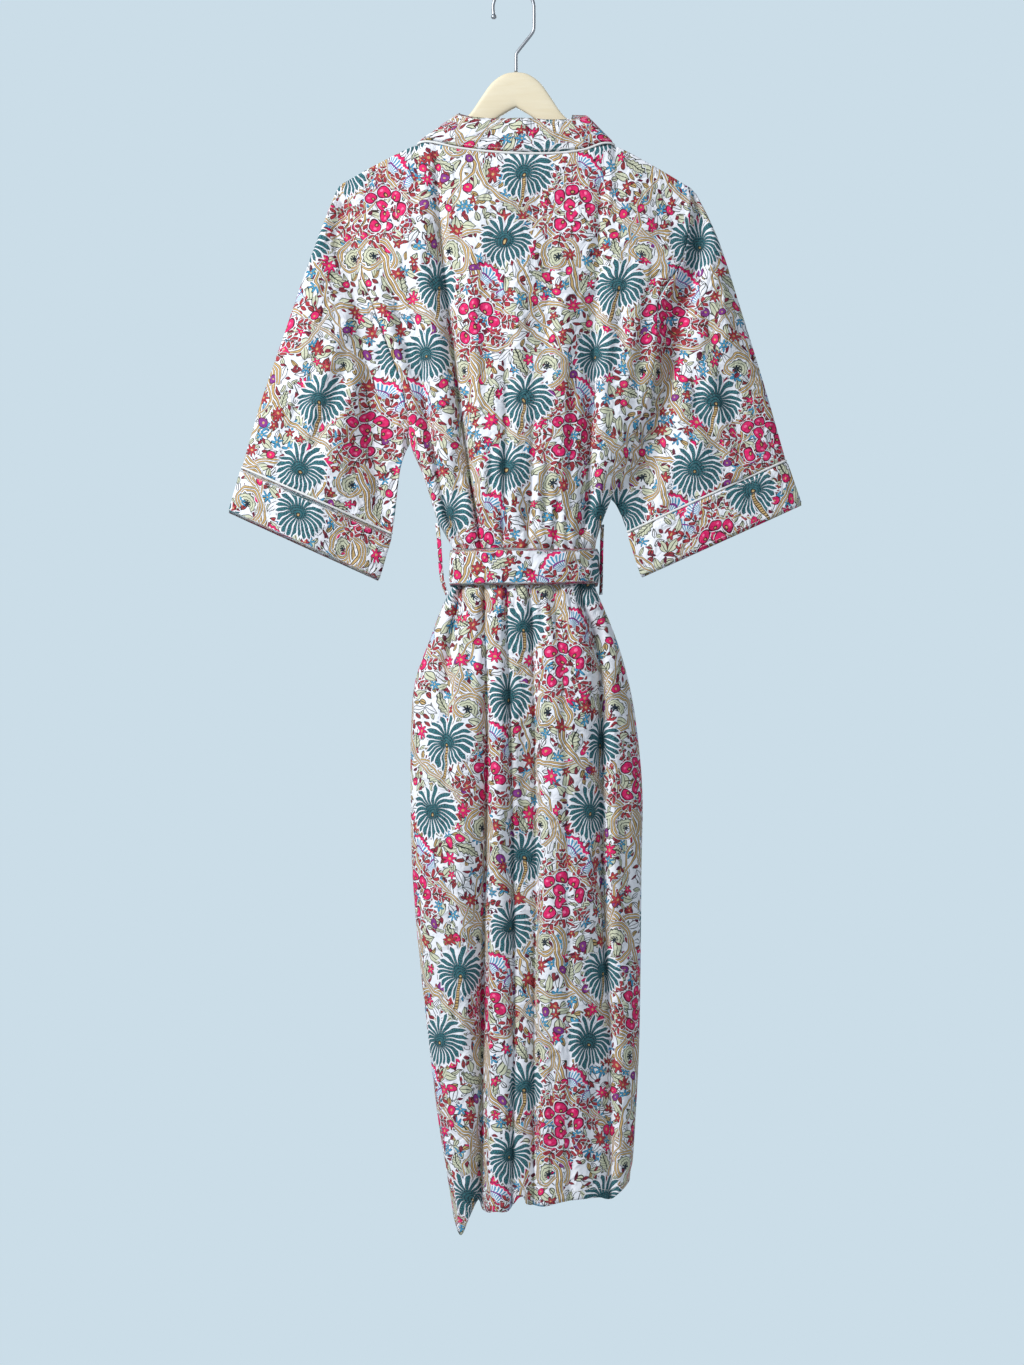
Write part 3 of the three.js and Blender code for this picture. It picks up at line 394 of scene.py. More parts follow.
@dataclass
class BodyForm:
    """The shape of the hung body: its outline, depth, folds and wrinkles."""

    rows: Sequence[BodyRow] = BODY_ROWS
    curved: dict = field(init=False)
    straight: dict = field(init=False)
    shoulder: Track = field(init=False)
    hem: Track = field(init=False)
    front_hem: Track = field(init=False)
    neck_fall: Track = field(init=False)
    ripples: np.ndarray = field(init=False)

    def __post_init__(self) -> None:
        """Makes a track for each column."""
        columns = dict(zip(BodyRow._fields, zip(*self.rows)))
        drops = columns.pop("drop")
        self.curved = {name: Track(drops, column) for name, column in columns.items()}
        self.straight = {name: Track(drops, column, False) for name, column in columns.items()}
        self.shoulder = Track(*zip(*SHOULDER_LINE))
        self.hem = Track(*zip(*HEM_LINE))
        self.front_hem = Track(*zip(*FRONT_HEM_LINE))
        self.neck_fall = Track(*zip(*NECK_FALL), smooth=False)
        chance = np.random.default_rng(RIPPLE_SEED)
        turn = chance.uniform(0, math.pi, RIPPLE_COUNT)
        length = np.exp(chance.uniform(math.log(34), math.log(150), RIPPLE_COUNT))
        across = np.cos(turn) * 2 * math.pi / length
        down = 0.45 * np.sin(turn) * 2 * math.pi / length
        phase = chance.uniform(0, 6.28, RIPPLE_COUNT)
        self.ripples = np.stack([across, down, phase, 0.006 * length], axis=1)

    def section(self, drop: float) -> Section:
        """Returns the row at a distance down the cloth."""
        return Section(drop, self)

    def seam_height(self, x: Number) -> np.ndarray:
        """Returns the height of the shoulder and neck seam at places x."""
        first = self.rows[0]
        f = (x - first.x_left) / (first.x_right - first.x_left)
        return mix(first.z_left, first.z_right, f) + self.shoulder(x)

    def height(self, row: Section, x: np.ndarray, side: Side) -> np.ndarray:
        """Returns the height of places x of a row."""
        f = (x - row.x_left) / (row.x_right - row.x_left)
        up = self.shoulder(x)
        if side is Side.FRONT:
            up = np.where(np.abs(x) < NECK_X, 50.0, up)
        z = mix(row.z_left, row.z_right, f) + row.neck * up
        hem = self.hem if side is Side.BACK else self.front_hem
        z = z + ease((row.drop - (LENGTH - HEM_REACH)) / HEM_REACH) * hem(x)
        if side is Side.BACK:
            z = z - self.neck_fall(row.drop) * ease((NECK_X + 5 - np.abs(x)) / 5)
        return z

    def undulation(self, x: np.ndarray, z: np.ndarray, side: Side) -> np.ndarray:
        """Returns the soft unevenness of hung cotton, from a fixed set of waves."""
        total = np.zeros_like(x)
        start = 0.0 if side is Side.BACK else 2.1
        for kx, kz, phase, amount in self.ripples:
            total += amount * np.sin(kx * x + kz * z + phase + start)
        return total

    def relief(self, row: Section, x: np.ndarray, z: np.ndarray, side: Side) -> np.ndarray:
        """Returns how far the cloth goes in at places x of a row.

        Args:
            row: the row.
            x: the places.
            z: their heights.
            side: the back or the front.

        Returns:
            The distance inwards, negative where the cloth bulges out.
        """
        back = side is Side.BACK
        total = np.zeros_like(x)
        for crease in BACK_CREASES if back else FRONT_CREASES:
            total += crease.relief(row.z, x)
        f = (x - row.x_left) / (row.x_right - row.x_left)
        wide_row = row.x_right - row.x_left
        above = row.z > BELT_TOP
        below = row.z < BELT_BOTTOM
        for g in BACK_GATHERS if back else FRONT_GATHERS:
            far = (row.z - BELT_TOP) / g.up if above else (BELT_BOTTOM - row.z) / g.down if below else 0.0
            total += g.depth * math.exp(-far * far) * np.exp(-((f - g.share) * wide_row / g.wide) ** 2)
        free = float(ease((abs(row.z - BELT_Z) - 24) / 60)) * float(ease(row.drop / 70))
        low = float(ease((row.drop - 560) / 140))
        extra = np.zeros_like(x)
        for w in BACK_WRINKLES if back else FRONT_WRINKLES:
            extra += (1.6 if above else 1.0) * w.relief(x, z)
        for w in BACK_SLOPES if back else ():
            extra += w.relief(x, z, -1.0, 2.8)
        extra += self.undulation(x, z, side)
        if back and low > 0:
            columns = (*BACK_CREASES[1:4], BACK_CREASES[5])
            marks = [row.x_left, *(float(crease.place(row.z)) for crease in columns), row.x_right]
            for a, b in zip(marks, marks[1:]):
                puff = low * 0.05 * (b - a) * np.sin(math.pi * np.clip((x - a) / (b - a), 0, 1))
                extra -= np.where((x > a) & (x < b), puff, 0)
        rim = ease(np.sin(math.pi * row.share(x)) / 0.55)
        return total + free * rim * extra

    def arch(self, row: Section, x: np.ndarray) -> np.ndarray:
        """Returns the shares of a row's full depth at places x, before its folds."""
        beside = float(ease(row.drop / 20) * ease((345 - row.drop) / 90))
        return np.clip(np.sin(math.pi * row.share(x)), 0, 1) ** (0.75 + 0.6 * beside)

    def back_depth(self, row: Section, x: np.ndarray) -> np.ndarray:
        """Returns the depth of the back at places x, before its folds."""
        rise = np.where(np.abs(x) < NECK_X, (1 - np.clip(np.abs(x) / NECK_X, 0, 1) ** 2) ** 0.25, 0)
        return row.dip() + (row.back - row.dip()) * self.arch(row, x) + row.neck_y * rise

    def back_points(self, row: Section, x: np.ndarray) -> np.ndarray:
        """Returns the back's points at places x of a row."""
        z = self.height(row, x, Side.BACK)
        y = -(self.back_depth(row, x) - self.relief(row, x, z, Side.BACK))
        return np.stack([x, y, z], axis=1)

    def front_points(self, row: Section, x: np.ndarray, hand: Hand) -> np.ndarray:
        """Returns a front's points at places x of a row; the right front lies under the left."""
        z = self.height(row, x, Side.FRONT)
        y = row.dip() + (row.front - row.dip()) * self.arch(row, x) - self.relief(row, x, z, Side.FRONT)
        if hand is Hand.RIGHT:
            y = y - UNDER * ease((row.drop - 130) / 120) * ease((row.x_right - 2 - x) / 26)
        return np.stack([x, y, z], axis=1)

    def front_seam(self, row: Section, hand: Hand) -> float:
        """Returns where the front meets its band on a row."""
        low = (row.x_left + row.x_right) / 2 - hand.value * (HIP_LAP - BAND_WIDTH)
        if row.drop >= BAND_BEND_DROP:
            return low
        waist = self.section(BAND_BEND_DROP)
        waist_seam = (waist.x_left + waist.x_right) / 2 - hand.value * (HIP_LAP - BAND_WIDTH)
        share = (row.drop - 8) / (BAND_BEND_DROP - 8)
        return mix(hand.value * (NECK_X + 2), waist_seam, min(1.0, max(0.0, share)))


def shares(count: int) -> np.ndarray:
    """Returns even shares from 0 to 1."""
    return np.arange(count) / (count - 1)


def cos_shares(steps: int) -> np.ndarray:
    """Returns shares from 0 to 1, closer together at both ends."""
    return (1 - np.cos(math.pi * np.arange(steps + 1) / steps)) / 2


def cos_line(start: float, end: float, steps: int = 260) -> np.ndarray:
    """Returns places from start to end, closer together at both ends."""
    return mix(start, end, cos_shares(steps))


# Meshes

def mesh_object(name: str, points: np.ndarray, faces: Sequence[Sequence[int]],
                cloth: Optional[np.ndarray] = None, smooth: bool = True) -> bpy.types.Object:
    """Makes a mesh object at the origin.

    Args:
        name: the piece's name.
        points: its points in millimetres.
        faces: its faces, as point numbers.
        cloth: the place of each point on the flat cloth in millimetres, or None.
        smooth: whether its faces are shaded smooth.

    Returns:
        The new object.
    """
    mesh = bpy.data.meshes.new(name)
    mesh.from_pydata((points * MM).tolist(), [], [list(f) for f in faces])
    mesh.update()
    if smooth:
        mesh.polygons.foreach_set("use_smooth", [True] * len(mesh.polygons))
    if cloth is not None:
        layer = mesh.uv_layers.new(name="cloth")
        corner = np.empty(len(mesh.loops), int)
        mesh.loops.foreach_get("vertex_index", corner)
        layer.data.foreach_set("uv", (cloth[corner] * MM).ravel())
    obj = bpy.data.objects.new(name, mesh)
    bpy.context.scene.collection.objects.link(obj)
    return obj


def grid_faces(rows: int, cols: int, around: bool, flip: bool, closed: bool = False) -> list:
    """Returns the quads of a grid of points.

    Args:
        rows: how many rows.
        cols: how many columns.
        around: whether the last column joins the first.
        flip: whether the faces are turned over.
        closed: whether the last row joins the first.

    Returns:
        A list of faces.
    """
    r, c = np.meshgrid(np.arange(rows if closed else rows - 1), np.arange(cols if around else cols - 1),
                       indexing="ij")
    below, right = (r + 1) % rows, (c + 1) % cols
    corners = ((r, c), (below, c), (below, right), (r, right)) if flip else (
        (r, c), (r, right), (below, right), (below, c))
    return np.stack([(row * cols + col).ravel() for row, col in corners], axis=1).tolist()


def tube_faces(rows: int, cols: int, flip: bool = False, closed: bool = False) -> list:
    """Returns the faces of a tube of rings, with its ends where it doesn't close on itself.

    Args:
        rows: how many rings.
        cols: how many points each ring has.
        flip: whether the faces are turned over.
        closed: whether the last ring joins the first.

    Returns:
        A list of faces.
    """
    faces = grid_faces(rows, cols, True, flip, closed)
    if not closed:
        turn = 1 if flip else -1
        faces.append(list(range(cols))[::turn])
        faces.append(list(range((rows - 1) * cols, rows * cols))[::-turn])
    return faces


def strip_places(along: np.ndarray, across: np.ndarray) -> np.ndarray:
    """Returns the flat places of a strip's grid from those along it and those across it."""
    return np.stack(np.broadcast_arrays(along[:, None], across[None]), axis=2)


def thin_shell(obj: bpy.types.Object, thickness: float) -> None:
    """Gives a sheet its cloth thickness, in millimetres."""
    wall = obj.modifiers.new("cloth thickness", "SOLIDIFY")
    wall.thickness = thickness * MM
    wall.offset = 0
    wall.use_even_offset = False
    wall.use_rim = True


def grid_normals(grid: np.ndarray, around: bool) -> np.ndarray:
    """Returns the unit normals of a grid of points, rows by columns.

    Args:
        grid: the points.
        around: whether the last column joins the first.

    Returns:
        One normal for each point.
    """
    down = np.gradient(grid, axis=0)
    if around:
        across = (np.roll(grid, -1, axis=1) - np.roll(grid, 1, axis=1)) / 2
    else:
        across = np.gradient(grid, axis=1)
    normal = np.cross(across, down)
    return normal / np.maximum(np.linalg.norm(normal, axis=2, keepdims=True), 1e-9)


def folded_strip(name: str, grid: np.ndarray, thickness: float, cloth: np.ndarray, around: bool,
                 flip: bool) -> bpy.types.Object:
    """Makes a strip folded double, with its long edges rounded.

    Args:
        name: the piece's name.
        grid: stations along the strip by points across it, in millimetres.
        thickness: the folded thickness.
        cloth: the flat place of each point, of the grid's shape.
        around: whether the strip closes on itself.
        flip: whether the faces are turned over.

    Returns:
        The strip, a closed solid.
    """
    stations, count = grid.shape[:2]
    normal = np.swapaxes(grid_normals(np.swapaxes(grid, 0, 1), around), 0, 1)
    share = np.abs(2 * shares(count) - 1)
    half = thickness / 2 * (1 - share ** 10) ** 0.5
    fold = np.ones(stations)
    if not around:
        fold[0] = fold[-1] = 0.25
    lift = normal * (half[None, :, None] * fold[:, None, None])
    outer = grid + lift
    inner = grid - lift
    loop = np.concatenate([outer, inner[:, -2:0:-1]], axis=1)
    flat = np.concatenate([cloth, cloth[:, -2:0:-1] + np.array([0.0, 61.0])], axis=1)
    faces = tube_faces(stations, loop.shape[1], closed=around)
    if flip:
        faces = [face[::-1] for face in faces]
    return mesh_object(name, loop.reshape(-1, 3), faces, flat.reshape(-1, 2))


def round_cord(name: str, line: np.ndarray, radius: Number, sides: int, closed: bool) -> bpy.types.Object:
    """Makes a round cord or wire along a line.

    Args:
        name: the piece's name.
        line: its points in millimetres.
        radius: its radius, one or one for each point.
        sides: how many sides it has.
        closed: whether it is a ring.

    Returns:
        The cord, a closed solid.
    """
    count = len(line)
    radii = np.broadcast_to(np.asarray(radius, float), (count,))
    if closed:
        along = np.roll(line, -1, axis=0) - np.roll(line, 1, axis=0)
    else:
        along = np.gradient(line, axis=0)
    along = along / np.linalg.norm(along, axis=1, keepdims=True)
    normal = np.array([0.0, 1.0, 0.0]) if abs(along[0][1]) < 0.8 else np.array([0.0, 0.0, 1.0])
    turn = 2 * math.pi * np.arange(sides) / sides
    run = run_along(line)
    points, cloth = [], []
    for i in range(count):
        normal = normal - along[i] * normal.dot(along[i])
        normal = normal / np.linalg.norm(normal)
        other = np.cross(along[i], normal)
        points.append(line[i] + radii[i] * (np.cos(turn)[:, None] * normal + np.sin(turn)[:, None] * other))
        cloth.append(np.stack([np.full(sides, run[i]), radii[i] * turn], axis=1))
    faces = tube_faces(count, sides, closed=closed)
    return mesh_object(name, np.concatenate(points), faces, np.concatenate(cloth))


# Finishes

def srgb(red: float, green: float, blue: float) -> tuple:
    """Turns a colour of the screen, 0 to 255 a channel, into its four linear channels."""
    channels = (red / 255, green / 255, blue / 255)
    return (*(c / 12.92 if c <= 0.04045 else ((c + 0.055) / 1.055) ** 2.4 for c in channels), 1.0)


class Finish:
    """A material while it is built, with its node tree and its shader."""

    def __init__(self, name: str) -> None:
        """Starts the material.

        Args:
            name: its name.
        """
        self.material = bpy.data.materials.new(name)
        self.material.use_nodes = True
        self.tree = self.material.node_tree
        self.shader = self.tree.nodes["Principled BSDF"]

    def fill(self, node: bpy.types.Node, values: dict) -> None:
        """Fills a node's inputs.

        Args:
            node: the node.
            values: for each input's name or number, a socket to link or a constant.
        """
        for name, value in values.items():
            if isinstance(value, Socket):
                self.tree.links.new(value, node.inputs[name])
            else:
                node.inputs[name].default_value = value

    def node(self, kind: str, values: Optional[dict] = None, **settings: str) -> bpy.types.Node:
        """Adds a node.

        Args:
            kind: its type, without the prefix that all shader nodes have.
            values: what its inputs get.
            settings: its other settings.

        Returns:
            The node.
        """
        node = self.tree.nodes.new("ShaderNode" + kind)
        for name, value in settings.items():
            setattr(node, name, value)
        self.fill(node, values or {})
        return node

    def noise(self, where: Socket, scale: float, detail: float = 2.0, distortion: float = 0.0,
              dimensions: str = "3D") -> Socket:
        """Adds a soft noise, 2D on the flat cloth or 3D in the object, and returns its factor's socket."""
        values = {"Vector": where, "Scale": scale, "Detail": detail, "Distortion": distortion}
        return self.node("TexNoise", values, noise_dimensions=dimensions).outputs[0]

    def bump(self, height: Socket, strength: float, distance: float, over: Optional[Socket] = None) -> Socket:
        """Adds a bump.

        Args:
            height: what makes it.
            strength: how strong it is.
            distance: its height in metres.
            over: the bump below it.

        Returns:
            The normal's socket.
        """
        node = self.node("Bump", {"Height": height, "Strength": strength, "Distance": distance})
        if over:
            self.fill(node, {"Normal": over})
        return node.outputs[0]

    def blend(self, share: Socket, first: Union[tuple, Socket], second: Union[tuple, Socket]) -> Socket:
        """Mixes two colours and returns the result's socket."""
        return self.node("Mix", {0: share, 6: first, 7: second}, data_type="RGBA").outputs[2]


class Ink:
    """A number in a material's node tree, with arithmetic that makes the nodes."""

    def __init__(self, made: Finish, socket: Socket) -> None:
        """Keeps the material and the socket that the number comes from."""
        self.made = made
        self.socket = socket

    def math(self, operation: str, *others: Union["Ink", float]) -> "Ink":
        """Returns the result of one Math node of this and the other inputs."""
        values = {i: getattr(value, "socket", value) for i, value in enumerate((self, *others))}
        return Ink(self.made, self.made.node("Math", values, operation=operation).outputs[0])

    def __add__(self, other: Union["Ink", float]) -> "Ink":
        """Adds."""
        return self.math("ADD", other)

    def __sub__(self, other: Union["Ink", float]) -> "Ink":
        """Subtracts."""
        return self.math("SUBTRACT", other)

    def __mul__(self, other: Union["Ink", float]) -> "Ink":
        """Multiplies."""
        return self.math("MULTIPLY", other)

    def fma(self, times: Union["Ink", float], plus: Union["Ink", float]) -> "Ink":
        """Multiplies and adds in one node."""
        return self.math("MULTIPLY_ADD", times, plus)

    def low(self, other: Union["Ink", float]) -> "Ink":
        """Returns the smaller of two."""
        return self.math("MINIMUM", other)

    def under(self, other: Union["Ink", float]) -> "Ink":
        """Returns 1 where this is less than the other, else 0."""
        return self.math("LESS_THAN", other)

    def over(self, other: Union["Ink", float]) -> "Ink":
        """Returns 1 where this is more than the other, else 0."""
        return self.math("GREATER_THAN", other)

    def wrap(self, half: float) -> "Ink":
        """Returns the number wrapped between minus and plus a limit."""
        return self.math("WRAP", half, -half)

    def size(self) -> "Ink":
        """Returns the number without its sign."""
        return self.math("ABSOLUTE")

    def sine(self) -> "Ink":
        """Returns the sine."""
        return self.math("SINE")


class Place:
    """A place on the printed cloth, as a vector in the node tree, in millimetres."""

    def __init__(self, made: Finish, socket: Socket) -> None:
        """Keeps the material and the socket that the vector comes from."""
        self.made = made
        self.socket = socket

    def vector(self, operation: str, *others: Union["Place", tuple]) -> bpy.types.Node:
        """Returns one Vector Math node of this and the other inputs."""
        values = {i: getattr(value, "socket", value) for i, value in enumerate((self, *others))}
        return self.made.node("VectorMath", values, operation=operation)

    def moved(self, x: float, y: float) -> "Place":
        """Returns the place seen from a point of the repeat."""
        return Place(self.made, self.vector("SUBTRACT", (x, y, 0.0)).outputs[0])

    def scaled(self, times: float) -> "Place":
        """Returns the place with its distances multiplied."""
        return Place(self.made, self.vector("MULTIPLY", (times, times, times)).outputs[0])

    def repeat(self, x: float, y: float, wide: float, high: float) -> "Place":
        """Returns the place seen from the nearest copy of the point x, y in a repeat of the given size."""
        node = self.moved(x, y).vector("WRAP", (wide / 2, high / 2, 1.0), (-wide / 2, -high / 2, -1.0))
        return Place(self.made, node.outputs[0])

    def far(self) -> Ink:
        """Returns the distance from the local origin."""
        return Ink(self.made, self.vector("LENGTH").outputs["Value"])

    def parts(self) -> tuple:
        """Returns the place's x and y."""
        node = self.made.node("SeparateXYZ", {0: self.socket})
        return Ink(self.made, node.outputs[0]), Ink(self.made, node.outputs[1])

    def polar(self) -> tuple:
        """Returns the angle from the upright, clockwise, and the distance out."""
        x, y = self.parts()
        return x.math("ARCTAN2", y), self.far()

    def nearer(self, other: "Place") -> "Place":
        """Returns whichever of two local places is closer to its own origin."""
        values = {0: other.far().under(self.far()).socket, 4: self.socket, 5: other.socket}
        return Place(self.made, self.made.node("Mix", values, data_type="VECTOR").outputs[1])

    def turned(self, degrees: float) -> "Place":
        """Returns the place turned about the local origin."""
        values = {"Vector": self.socket, "Angle": math.radians(degrees)}
        return Place(self.made, self.made.node("VectorRotate", values, rotation_type="Z_AXIS").outputs[0])


@dataclass(frozen=True)
class PrintColours:
    """The inks of the block print."""

    ground: tuple = srgb(243, 244, 250)
    teal: tuple = srgb(56, 124, 132)
    slate: tuple = srgb(12, 32, 46)
    pink: tuple = srgb(226, 22, 102)
    maroon: tuple = srgb(92, 8, 42)
    rose: tuple = srgb(250, 118, 164)
    rust: tuple = srgb(172, 50, 60)
    wine: tuple = srgb(66, 12, 22)
    tan: tuple = srgb(204, 170, 112)
    brown: tuple = srgb(62, 42, 22)
    sage: tuple = srgb(212, 214, 186)
    olive: tuple = srgb(30, 38, 28)
    blue: tuple = srgb(64, 152, 192)
    purple: tuple = srgb(134, 48, 136)
    worn: tuple = srgb(222, 220, 222)


class Printing(Finish):
    """The cotton while it is printed, one ink over the other."""

    def __init__(self, name: str, ground: tuple) -> None:
        """Starts with the bare ground."""
        super().__init__(name)
        self.colour = ground

    def lay(self, where: Ink, ink: Union[tuple, Socket]) -> None:
        """Prints one ink where the number is 1."""
        self.colour = self.blend(where.socket, self.colour, ink)

    def stack(self, test: Callable[[float], Ink], *steps: tuple, only: Optional[Ink] = None) -> None:
        """Prints the inks of a motif from its outline inwards.

        Args:
            test: gives 1 at the places past a limit.
            steps: pairs of a limit and an ink.
            only: 1 where the motif may be printed, or None for everywhere.
        """
        for limit, ink in steps:
            where = test(limit)
            self.lay(where * only if only else where, ink)

    def ribbon(self, off: Ink, apart: float, colours: PrintColours) -> None:
        """Prints a vine of two tan strands, each apart from its middle, with brown edges."""
        self.lay(off.under(apart + 2.0), colours.ground)
        self.stack((off - apart).size().under, (1.3, colours.brown), (0.75, colours.tan))


class Scatter(NamedTuple):
    """Small leaves or flowers strewn over the cloth.

    cell is their mean distance, shift moves them all, long and wide are half of a leaf's length and width
    or a flower's radius and its petals' depth, petals is 0 for leaves, and share of the places are filled.
    """

    cell: float
    shift: float
    long: float
    wide: float
    petals: int
    share: float
    outline: tuple
    inks: tuple


@dataclass
class BlockPrint:
    """The robe's printed cotton: palms, berries, vines, leaves and fans on a white ground."""

    name: str = "printed cotton"
    column: float = 118.0
    drop: float = 272.0
    fronds: int = 21
    droop: float = 0.024
    head_turn: float = 0.45
    drift: float = 9.0
    colours: PrintColours = PrintColours()
    on: Printing = field(init=False)
    place: Place = field(init=False)

    def half_drop(self, x: float, y: float, turn: float = 0.0) -> Place:
        """Returns the place seen from the nearest copy of a motif in the half-drop repeat.

        Args:
            x: the motif's place across.
            y: the motif's place up.
            turn: how far it is turned, in degrees.

        Returns:
            The local place.
        """
        first = self.place.repeat(x, y, 2 * self.column, self.drop)
        second = self.place.repeat(x + self.column, y + self.drop / 2, 2 * self.column, self.drop)
        near = first.nearer(second)
        return near.turned(turn) if turn else near

    def around(self, place: Place, count: int, start: float = 0.0) -> tuple:
        """Folds a place into one of the equal sectors round its origin.

        Args:
            place: the local place.
            count: how many sectors there are.
            start: the first sector's turn, as a share of a sector.

        Returns:
            The sector's number, the distance right of its middle line, and the distance out.
        """
        angle, out = place.polar()
        angle = angle.fma(count / (2 * math.pi), start)
        number = angle.math("ROUND")
        return number, (angle - number) * out * (2 * math.pi / count), out

    def palms(self) -> None:
        """Prints the palm heads with their drooping fronds, and the trunk of every other one."""
        on, c = self.on, self.colours
        first = self.half_drop(2.0, 46.0)
        near = first.nearer(self.half_drop(-22.0, -36.0))
        x, y = near.parts()
        angle, out = near.polar()
        sine = x.math("DIVIDE", out)
        cosine = y.math("DIVIDE", out)
        turn = out * -self.droop + self.head_turn
        angle = (angle + turn * sine).fma(self.fronds / (2 * math.pi), 0.5)
        number = angle.math("ROUND")
        spread = turn.fma(cosine, 1.0)
        shear = out * self.droop * sine
        pitch = (spread * spread + shear * shear).math("SQRT") * (self.fronds / (2 * math.pi))
        across = ((angle - number).size() * out).math("DIVIDE", pitch)
        tip = (number * 12.9898).sine().fma(3.0, 32.0) + cosine * 2.5
        shape = out.fma(0.066, 0.7).low((tip - out) * 0.6).low(2.45) - across
        on.stack(shape.over, (-1.8, c.ground), (0.0, c.slate))
        barbs = (out * 2.3 - across * 2.8).sine().over(-0.72) * out.over(2.2) * across.over(0.14)
        on.stack(shape.over, (0.5, c.teal), only=barbs)
        x, y = first.parts()
        bend = (x + y * y * 0.004).size()
        tall = y.under(-3.0) * y.over(-40.0)
        on.stack(bend.under, (3.0, c.ground), (2.3, c.brown), only=tall)
        on.stack(bend.under, (1.5, c.tan), only=tall * (y * 2.1).sine().over(-0.5))
        on.stack(out.under, (2.2, c.brown), (1.3, c.tan))

    def sprigs(self, near: Place, count: int, inner: float, outer: float) -> None:
        """Prints a ring of thin stems with small rust leaves in pairs.

        Args:
            near: the place seen from the ring's middle.
            count: how many stems there are.
            inner: where they start, from the middle.
            outer: where they end.
        """
        on, c = self.on, self.colours
        number, side, out = self.around(near, count)
        side = (side + (out * 0.2 + number * 2.1).sine() * 1.3).size()
        reach = out.over(inner) * out.under((number * 7.13).sine().fma(3.0, outer))
        blade = (side - 3.9) * (1 / 3.6)
        leaf = (blade * blade) * -2.7 + 2.7 - (out - side * 0.8).wrap(3.9).size()
        on.stack(leaf.over, (-1.1, c.ground), only=reach)
        on.stack(side.under, (0.6, c.brown), only=reach)
        on.stack(leaf.over, (-0.35, c.wine), (0.5, c.rust), only=reach)

    def berries(self) -> None:
        """Prints the berry clusters, each inside two rings of small rust leaves."""
        on, c = self.on, self.colours
        near = self.half_drop(60.0, 6.0)
        self.sprigs(near.moved(-2.0, 4.0), 11, 35.0, 49.0)
        self.sprigs(near, 8, 25.0, 37.0)
        rings = []
        for count, middle, start in ((3, 7.6, 0.3), (8, 21.5, 0.1)):
            number, side, out = self.around(near.moved(1.5, -2.0), count, start)
            in_line = out - (number * 5.71).sine().fma(2.6, middle)
            slip = (number * 9.3).sine() * (0.12 * middle)
            gone = (number * 3.7 + start).sine().under(-0.62) * 90.0
            joined = on.node("CombineXYZ", {0: (side + slip).socket, 1: (in_line + gone).socket})
            rings.append(Place(on, joined.outputs[0]))
        on.lay(side.size().under(0.6) * out.under(20.0) * out.over(9.0), c.brown)
        berry = rings[0].nearer(rings[1])
        x, y = berry.parts()
        ball = berry.far() + x.size() * -0.2 + y * -0.1
        on.stack(ball.under, (7.4, c.ground), (6.6, c.maroon), (5.4, c.pink))
        on.lay(berry.moved(-1.8, 2.2).far().under(1.6), c.rose)
        on.stack(berry.moved(0.6, -2.6).far().under, (2.3, c.wine), (1.2, c.tan))

    def vines(self) -> None:
        """Prints the long vines that climb and cross between the motifs, and their twining strands."""
        on = self.on
        x, y = self.place.parts()
        climb = 2 * math.pi / self.drop
        cross = math.pi / self.column
        rise = y - (x * cross).sine() * 30.0 - (x * (3 * cross)).sine() * 8.0
        on.ribbon(rise.wrap(self.drop / 4).size(), 1.9, self.colours)
        fall = y + x * (self.drop / (2 * self.column)) + (y * (climb * 2)).sine() * 17.0
        on.ribbon((fall.wrap(self.drop / 4) * 0.62).size(), 1.9, self.colours)
        sway = (y * climb).sine() * 26.0 + (x * cross + y * climb).sine() * 5.0
        middle = x - sway - 30.0
        twist = (y * (climb * 4)).sine() * 6.0
        for strand in (middle - twist, middle + twist):
            on.ribbon(strand.wrap(self.column / 2).size() * 0.9, 0.0, self.colours)

    def scrolls(self) -> None:
        """Prints the curled tendrils, each with a ruffled sage shell at its heart."""
        on, c = self.on, self.colours
        near = self.half_drop(30.0, 88.0, 35).nearer(self.half_drop(42.0, -52.0, -60))
        angle, out = near.polar()
        on.ribbon((out - angle.fma(2.8, 18.5)).size(), 1.7, c)
        waves = (angle * 11.0).sine()
        ruffle = waves.fma(0.8, 12.4) - out
        shell = angle.size().under(1.75)
        on.stack(ruffle.over, (-1.2, c.ground), (0.0, c.olive), (0.9, c.sage), only=shell)
        on.stack(ruffle.over, (0.9, c.olive), only=shell * (out * 1.75 + waves * 0.5).sine().over(0.8))
        on.lay((angle * 7.0).sine().fma(1.6, 3.8).over(out), c.slate)

    def boughs(self) -> None:
        """Prints the long notched sage leaves, each turned its own way."""
        on, c = self.on, self.colours
        near = self.half_drop(-14.0, 6.0, -38)
        others = ((34.0, 40.0, 64.0), (-44.0, 48.0, 18.0), (22.0, -78.0, 118.0), (-2.0, 92.0, -18.0))
        for x, y, turn in others:
            near = near.nearer(self.half_drop(x, y, turn))
        x, y = near.parts()
        along = y * (1 / 17.0)
        off = (x + (y * 0.16).sine() * 1.4).size()
        leaf = (along * along) * -6.0 + 6.0 + (y * 1.15).sine() * 0.75 - off
        on.stack(leaf.over, (-0.9, c.ground), (0.0, c.olive), (1.1, c.sage))
        on.lay((y - off * 1.1).wrap(2.1).size().under(0.36) * leaf.over(1.1), c.olive)
        on.lay(off.under(0.62) * leaf.over(0.0), c.olive)

